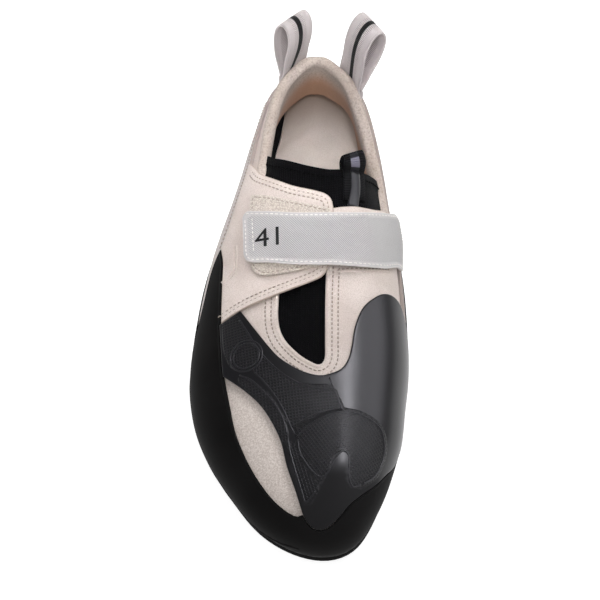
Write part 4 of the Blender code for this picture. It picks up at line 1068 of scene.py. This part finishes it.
# facing: the quarter's doubled edge above the strap
facingLook = {"low": 0.0, "high": 0.0026, "spacing": 0.0024, "rounding": 0.0007, "hem": 0.0003}
facingLine = patternLine(
    "360 30, 354 90, 353 156, 352 220, 352 290, 347 370, 330 502, 350 600, 440 560, 470 300, 470 50")
laidPiece("quarterFacing", [closedLine(facingLine, 0.0020)], facingLook, suede)

# strap: woven twill over the pad, down to the medial quarter
strapLook = {"color": "#c6c4c4", "dark": "#a6a4a4", "borderColor": "#bfbcbc", "cutEdge": "#cfcbc9", "pitch": 0.00095,
             "slant": 0.9, "border": 0.0024, "roughness": 0.8, "sheen": 0.1, "specular": 0.25, "fold": 0.0022,
             "overPad": 0.0062, "onQuarter": 0.0026, "wall": 0.0018, "spacing": 0.0020, "rounding": 0.0005}
twill = twillFinish("woven_twill_grey", strapLook)


def strapFoot(places):
    # high over the pad, low on the quarter, with a slight fold at its back edge
    down = last.surface(places)[:, 3] * np.where(last.isLateral(places), -1, 1)
    fold = strapLook["fold"] * easeStep(down, 0.30, 0.52) * (1 - easeStep(shareAlong(places), 0.36, 0.47))
    high, low = strapLook["overPad"], strapLook["onQuarter"]
    return high + (low - high) * easeStep(down, 0.02, 0.46) + fold


def strapTop(places):
    # one thickness above the foot
    return strapFoot(places) + strapLook["wall"]


laidPiece("closureStrap", [closedLine(strapLine, 0.0018)], dict(strapLook, low=strapFoot, high=strapTop), twill,
          "strap")

# plain size number, screen-printed on the strap
numberLook = {"text": "41", "height": 0.0085, "at": (0.437, -0.265), "color": "#151416", "dark": "#0c0b0c",
              "roughness": 0.55}
ink = rubberFinish("screen_print_black", numberLook)
letters = bpy.data.curves.new("sizeNumber", "FONT")
letters.body = numberLook["text"]
letters.align_x = "CENTER"
letters.align_y = "CENTER"
letters.size = numberLook["height"] / 0.7  # capitals are 0.7 of the letter size
letters.extrude = 0.00012
drawnText = bpy.data.objects.new("sizeNumber", letters)
bpy.context.scene.collection.objects.link(drawnText)
bpy.context.view_layer.update()
textMesh = bpy.data.meshes.new_from_object(drawnText.evaluated_get(bpy.context.evaluated_depsgraph_get()))
bpy.data.objects.remove(drawnText)
flatText = np.zeros(len(textMesh.vertices) * 3)
textMesh.vertices.foreach_get("co", flatText)
flatText = flatText.reshape(-1, 3)
textPlaces = last.spread([numberLook["at"]]) + flatText[:, :2]
laidText = last.stand(textPlaces, strapTop(textPlaces) + 0.00004 + flatText[:, 2])
textMesh.vertices.foreach_set("co", laidText.ravel())
textMesh.materials.clear()
textMesh.materials.append(ink)
numberPiece = bpy.data.objects.new("sizeNumberPrint", textMesh)
bpy.context.scene.collection.objects.link(numberPiece)
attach(numberPiece, "root")
print("closure made")


def groundOutline(offset, step):
    # the last's foot line seen from above, moved out by the offset
    line = evenly(last.stand(footLine(step), offset)[:, :2], step, True)
    return line if signedArea(line) > 0 else line[::-1]


def slabPiece(name, loop, look, material, node):
    # a board over the floor lift; both its edges are rounded by quarter circles, and the rim may stand up like a dish
    low, high, rounding, dish = look["low"], look["high"], look["rounding"], look.get("dish", 0.0)
    turns = np.linspace(0, math.pi / 2, 4)
    rings = [(narrowed(loop, rounding * (1 - math.cos(t))), rounding * (1 - math.sin(t))) for t in turns]
    top = rings[-1][0]
    places, faces = filled([top], lattice([top], look["spacing"]))
    whole = len(places)
    away = awayFrom(places, loop)
    lift = floorLift(places[:, 1])
    raised = high + dish * np.clip(1 - away / 0.012, 0, 1)**2
    points = [np.column_stack([places, lift + raised]), np.column_stack([places, lift + low])]
    near = np.argmin(((places[None] - top[:, None])**2).sum(axis=2), axis=1)
    allFaces = [faces, faces[:, ::-1] + whole]
    previous = near
    count = 2 * whole
    rim = [(ring, high + dish - drop) for ring, drop in rings[-2::-1]]
    rim += [(ring, low + drop) for ring, drop in rings[:-1]]
    for ring, height in rim:
        points.append(np.column_stack([ring, floorLift(ring[:, 1]) + height]))
        current = count + np.arange(len(loop))
        count += len(loop)
        allFaces += joinRings(previous, current)
        previous = current
    allFaces += joinRings(previous, near + whole)
    points = np.concatenate(points)
    edge = np.concatenate([away, away, np.zeros(count - 2 * whole)])
    return newPiece(name, [(points, [np.concatenate(allFaces)], points[:, :2])], material, node, {"edge": edge})


# outsole, midsole board and footbed
outsoleLook = {"color": "#0d0c0c", "dark": "#070707", "roughness": 0.8, "specular": 0.08, "low": 0.0,
               "high": lastSize["soleThickness"], "rounding": 0.0011, "spacing": 0.0060}
boardLook = {"color": "#1d1c1b", "dark": "#121111", "roughness": 0.9, "specular": 0.2, "low": 0.0050, "high": 0.0062,
             "rounding": 0.0003, "spacing": 0.0080}
bedSize = {"low": 0.0066, "high": 0.0084, "rounding": 0.0004, "spacing": 0.0050, "dish": 0.0010}
soleRubber = rubberFinish("pressed_rubber_black", outsoleLook)
board = rubberFinish("pressed_board_black", boardLook)
inner = groundOutline(-0.0004, 0.0040)
slabPiece("outsoleSheet", groundOutline(0.0050, 0.0030), outsoleLook, soleRubber, "outsole")
slabPiece("midsoleBoard", inner, boardLook, board, "midsole")
slabPiece("footbedSheet", inner, bedSize, footbed, "insole")


def unitOf(vector):
    # the vector over its own length
    return vector / np.linalg.norm(vector)


def webbingLoop(name, rowAt, offsets, look, material, node):
    # two ends lie on the shoe one over the other; between them the tape rises by (1 - cos) / 2 and swells by sine^2.2
    first, final = [last.stand(last.spread(rowAt(0.0)), offset) for offset in offsets]
    widthWay = unitOf((first[-1] - first[0]) * [1, 1, 0])
    upWay = unitOf(np.array([*look["lean"], 1]))
    outWay = unitOf(np.cross(upWay, widthWay))
    outWay = outWay * (1 if outWay[1] > 0 else -1)
    width = float(np.linalg.norm(first[-1] - first[0]))
    across = np.linspace(-0.5, 0.5, len(first)) * width
    middle = (first.mean(axis=0) + final.mean(axis=0)) / 2
    centres = []
    for share in np.linspace(0, 1, 57):
        turned = 2 * math.pi * share
        height = look["stand"] * (1 - math.cos(turned)) / 2
        out = -0.95 * (look["gap"] + look["wall"]) * math.cos(turned / 2) * abs(math.sin(turned / 2))**2.2
        narrow = 1 - look.get("waist", 0.0) * math.sin(turned / 2)**4
        straight = middle + upWay * height + outWay * out + np.outer(across * narrow, widthWay)
        base = (first if share < 0.5 else final) + upWay * height + outWay * out
        mixed = float(easeStep(height, 0, 0.010))
        centres.append(base * (1 - mixed) + straight * mixed)
    half = look["wall"] / 2
    towards = 1 if offsets[1] > offsets[0] else -1
    ends = []  # the sewn ends, which sink a little towards their tips
    for offset, shares, way in ((offsets[0], (1.0, 0.75, 0.5, 0.25), -towards),
                                (offsets[1], (0.25, 0.5, 0.75, 1.0), towards)):
        for share in shares:
            places = last.spread(rowAt(share))
            sunk = offset - look.get("sink", 0.0) * share**2
            ends.append((last.stand(places, sunk + half * way), last.stand(places, sunk - half * way)))
    rim = (1 - (2 * np.abs(across) / width)**8)[:, None] * 0.35 + 0.65
    rows = []
    for points, ahead in zip(centres, np.gradient(np.array(centres).mean(axis=1), axis=0)):
        side = unitOf(np.cross(ahead, widthWay))
        side = side * (1 if np.dot(side, outWay) * np.dot(ahead, upWay) > 0 else -1)
        rows.append((points - side * half * rim, points + side * half * rim))
    return ribbonPiece(name, ends[:4] + rows + ends[4:], material, node, across)


# two heel pull loops of ribbed webbing
loopLook = {"color": "#ded6d6", "dark": "#958b8b", "pitch": 0.00075, "ribbed": 0.0037, "stripe": "#131313",
            "stripeHalf": 0.0013, "roughness": 0.8, "sheen": 0.1, "specular": 0.2, "wall": 0.0011, "gap": 0.0124,
            "rim": 0.322, "sewn": 0.075, "sink": 0.0028}
loopWebbing = webbingFinish("woven_webbing_grey", loopLook)
tape = np.linspace(0, 1, 13)
under = 0.0019 + loopLook["wall"] / 2
over = under + loopLook["wall"] + 0.0002
pullLooks = {
    "pullLoopLateral": {"node": "pull_loop_lateral", "side": -1, "near": 0.052, "far": 0.004, "stand": 0.0250,
                        "lean": (0.07, 0.30)},
    "pullLoopMedial": {"node": "pull_loop_medial", "side": 1, "near": 0.028, "far": 0.094, "stand": 0.0295,
                       "lean": (0.32, 0.30)},
}
for name, look in pullLooks.items():

    def rowAt(share, look=look):
        down = look["side"] * (loopLook["rim"] + loopLook["sewn"] * share)
        along = look["near"] + (look["far"] - look["near"]) * tape
        return np.stack([along, np.full(len(tape), down)], axis=1)

    webbingLoop(name, rowAt, (under, over), {**loopLook, **look}, loopWebbing, look["node"])

# the tongue's pull tab of black webbing, with a satin stripe sewn on below it
tabLook = {"color": "#141416", "dark": "#060607", "pitch": 0.0009, "ribbed": 0.0090, "roughness": 0.8,
           "specular": 0.15, "stripe": "#2a2a2e", "stripeHalf": 0.0024, "mark": "#7a7786", "markAt": (0.0185, 0.0235),
           "waist": 0.22, "wall": 0.0011, "gap": 0.0040, "stand": 0.0095, "lean": (0.05, 0.30), "hem": 0.256,
           "sewn": 0.075, "down": 0.155, "span": 0.150}
satinLook = {"color": "#252529", "dark": "#1c1c20", "roughness": 0.36, "specular": 0.5, "bead": (0.0048, 0.0005),
             "foot": 0.0006}
tabWebbing = webbingFinish("woven_webbing_black", tabLook)
satin = rubberFinish("woven_satin_grey", satinLook)


def tabRowAt(share):
    along = np.full(len(tape), tabLook["hem"] + tabLook["sewn"] * share)
    return np.stack([along, tabLook["down"] + tabLook["span"] * tape], axis=1)


# one end of the tab lies on the gusset, the other under it
tabOffsets = (gussetLook["top"] + 0.0004 + tabLook["wall"] / 2, gussetLook["low"] - 0.0008 - tabLook["wall"] / 2)
webbingLoop("tongueTab", tabRowAt, tabOffsets, tabLook, tabWebbing, "tongue_tab")
stripe = sharesPath(patternLine("262 232, 285 235, 310 232, 350 212"))
stripeProfile = beadProfile(*satinLook["bead"], satinLook["foot"])
newPiece("tabStripe", [carried(stripe, stripeProfile)], satin)
print("loops made")

# stitching: spun thread, each stitch drawn 1.5 mm long
stitchLook = {"pitch": 0.0020, "length": 0.0015, "radius": 0.00033}
# how far each row lies in from its edge
rowsIn = {"throat": (0.0026, 0.0052), "quarter": 0.0009, "flap": (0.0024, 0.0042), "strap": 0.0013,
          "strapEnd": 0.0042, "sling": 0.0016, "pad": 0.0014, "hem": 0.0036}
# painted shade: the cream thread is painted a darker brown than cream, the shade of its groove and needle holes
shadedCreamThread, whiteThread, blackThread = [threadFinish(name, look) for name, look in (
    ("spun_thread_cream_painted_shade", {"color": "#b3a69c", "dark": "#94877d", "roughness": 0.7}),
    ("spun_thread_white", {"color": "#efece8", "dark": "#d8d4cf", "roughness": 0.65}),
    ("spun_thread_black", {"color": "#0d0d0e", "dark": "#060606", "roughness": 0.9, "specular": 0.05}))]
bindingLook = dict(suedeLook, color="#e0d6cf", dark="#d6cac2", edge=None, eye=None, seam=(0.0012, 0.0005))
binding = napFinish("brushed_microfibre_binding", bindingLook)


def sew(lines, off, look, name, material):
    # one piece out of a row of stitches on each line
    return newPiece(name, [stitchRow(line, look, off) for line in lines], material)


throat = sharesPath(slotLine[1:14], 0.001)
outward = towardsLoop(throat, opening, False, 20)
throatRows = [besideLine(throat, outward * by) for by in rowsIn["throat"]]
sew(throatRows, suedeLook["high"], stitchLook, "throatStitches", shadedCreamThread)
bindingProfile = np.stack([outward * (0.0008 + 0.0012 * np.cos(turn)), 0.0009 + 0.00125 * np.sin(turn)], axis=1)
newPiece("throatBinding", [carried(throat, bindingProfile, taper=0.003)], binding)

quarter = sharesPath(patternLine("513 100, 509 120, 503 186, 492 325, 469 506"), 0.001)
quarterRow = besideLine(quarter, rowsIn["quarter"])
sew([quarterRow], suedeLook["high"], stitchLook, "quarterStitches", shadedCreamThread)
quarterBead = beadProfile(*bindingLook["seam"], suedeLook["high"])
newPiece("quarterSeam", [carried(quarter, quarterBead)], binding)

flapEdge = sharesPath(flapFreeEdgeLine[1:], 0.001)
inward = towardsLoop(flapEdge, flapLoop, True, 40)
flapRows = [besideLine(flapEdge, inward * by) for by in rowsIn["flap"]]
sew(flapRows, flapLook["high"], stitchLook, "flapStitches", shadedCreamThread)
flapSeamUpper = patternLine("427 -487, 472 -481, 489 -498, 501 -557")
flapSeamLower = patternLine("430 -469, 478 -466, 496 -489, 505 -549")
flapBead = beadProfile(*flapLook["seam"], flapLook["high"])
flapSeams = [carried(sharesPath(line, 0.001), flapBead) for line in (flapSeamUpper, flapSeamLower)]
newPiece("flapSeams", flapSeams, binding)

strapLoop = closedLine(strapLine, 0.0012)
strapRow = narrowed(strapLoop, rowsIn["strap"])
endLine = sharesPath(patternLine("388 -402, 425 -404, 466 -402"), 0.001)
endRow = besideLine(endLine, towardsLoop(endLine, strapLoop, True, 8, 0.003) * rowsIn["strapEnd"])
sew([np.concatenate([strapRow, strapRow[:1]]), endRow], strapTop, dict(stitchLook, radius=0.00024), "strapStitches",
    whiteThread)

slingRow = sharesPath(slingTopLateralLine[:-2], 0.001)
slingRow = besideLine(slingRow, towardsLoop(slingRow, slingLoop, True, 30) * rowsIn["sling"])
sew([slingRow], slingLook["high"], stitchLook, "slingStitches", shadedCreamThread)
padRow = narrowed(closedLine(padLine, 0.0012), rowsIn["pad"])
sew([padRow], padLook["high"], dict(stitchLook, radius=0.00022), "padStitches", shadedCreamThread)
hemRow = sharesPath(tongueLine[1:9], 0.001)
hemRow = besideLine(hemRow, towardsLoop(hemRow, gussetLoop, True, 30) * rowsIn["hem"])
sew([hemRow], -0.0002, dict(stitchLook, pitch=0.0022), "hemStitches", blackThread)
print("stitching made")

# floor of lit white paper
floorLook = {"color": "#b4b4b4", "roughness": 0.6, "glow": 0.86, "half": 40}
half = floorLook["half"]
floorMesh = bpy.data.meshes.new("paperFloor")
floorMesh.from_pydata([(-half, -half, 0), (half, -half, 0), (half, half, 0), (-half, half, 0)], [], [(0, 1, 2, 3)])
floor = bpy.data.objects.new("paperFloor", floorMesh)
bpy.context.scene.collection.objects.link(floor)
paper = bpy.data.materials.new("paper_white")
paper.use_nodes = True
for key, value in (("Base Color", srgb(floorLook["color"])), ("Roughness", floorLook["roughness"]),
                   ("Emission Color", (1, 1, 1, 1)), ("Emission Strength", floorLook["glow"])):
    paper.node_tree.nodes["Principled BSDF"].inputs[key].default_value = value
floorMesh.materials.append(paper)

# lights: the soft ones leave no gleam, the gleams light the rubber's polish alone, and one looks into the heel
lightLook = {
    "softKey": {"at": (0.40, 0.34, 0.92), "aim": (0, 0.0, 0.03), "size": 0.46, "power": 4.5, "gleam": False},
    "softBack": {"at": (-0.20, 0.65, 0.80), "aim": (0, 0.02, 0.04), "size": 0.5, "power": 2.2, "gleam": False},
    "softFront": {"at": (-0.20, -0.45, 0.95), "aim": (0, 0.05, 0.03), "size": 1.1, "power": 3.6, "gleam": False},
    "lobeGleam": {"at": (0.78, 0.26, 0.66), "aim": (0.03, 0.0, 0.04), "size": 0.70, "power": 3.4, "gleam": True},
    "toeGleam": {"at": (0.30, 0.10, 0.98), "aim": (0.0, -0.02, 0.04), "size": 0.26, "power": 4.6, "gleam": True},
    "softCup": {"at": (0.02, -0.34, 0.74), "aim": (0.002, 0.112, 0.045), "size": 0.12, "power": 0.030, "spread": 14},
}
for name, look in lightLook.items():
    lamp = bpy.data.lights.new(name, "AREA")
    lamp.shape = "DISK"
    lamp.size = look["size"]
    lamp.energy = look["power"]
    if "spread" in look:
        lamp.spread = math.radians(look["spread"])
    light = bpy.data.objects.new(name, lamp)
    light.location = look["at"]
    light.rotation_euler = (Vector(look["aim"]) - Vector(look["at"])).to_track_quat("-Z", "Y").to_euler()
    bpy.context.scene.collection.objects.link(light)
    if "gleam" in look:
        light.visible_glossy = look["gleam"]
        light.visible_diffuse = not look["gleam"]
        lamp.color = (0.95, 0.94, 1.0) if look["gleam"] else (1, 1, 1)

world = bpy.data.worlds.new("whiteRoom")
bpy.context.scene.world = world
world.use_nodes = True
roomLight = world.node_tree.nodes["Background"].inputs
roomLight["Color"].default_value = (1, 1, 1, 1)
roomLight["Strength"].default_value = 0.22

# camera: in front of the toe, looking down at the middle of the shoe
cameraLook = {"target": (0, 0.0383, 0.045), "tilt": 52, "distance": 0.75, "focal": 101.8, "sensor": 36}
lens = bpy.data.cameras.new("photoCamera")
camera = bpy.data.objects.new("photoCamera", lens)
target = Vector(cameraLook["target"])
tilt = math.radians(cameraLook["tilt"])
camera.location = target + cameraLook["distance"] * Vector((0, -math.cos(tilt), math.sin(tilt)))
camera.rotation_euler = (target - camera.location).to_track_quat("-Z", "Y").to_euler()
lens.lens = cameraLook["focal"]
lens.sensor_width = cameraLook["sensor"]
bpy.context.scene.collection.objects.link(camera)
bpy.context.scene.camera = camera
bpy.context.scene.view_settings.view_transform = "Standard"

print("scene ready")
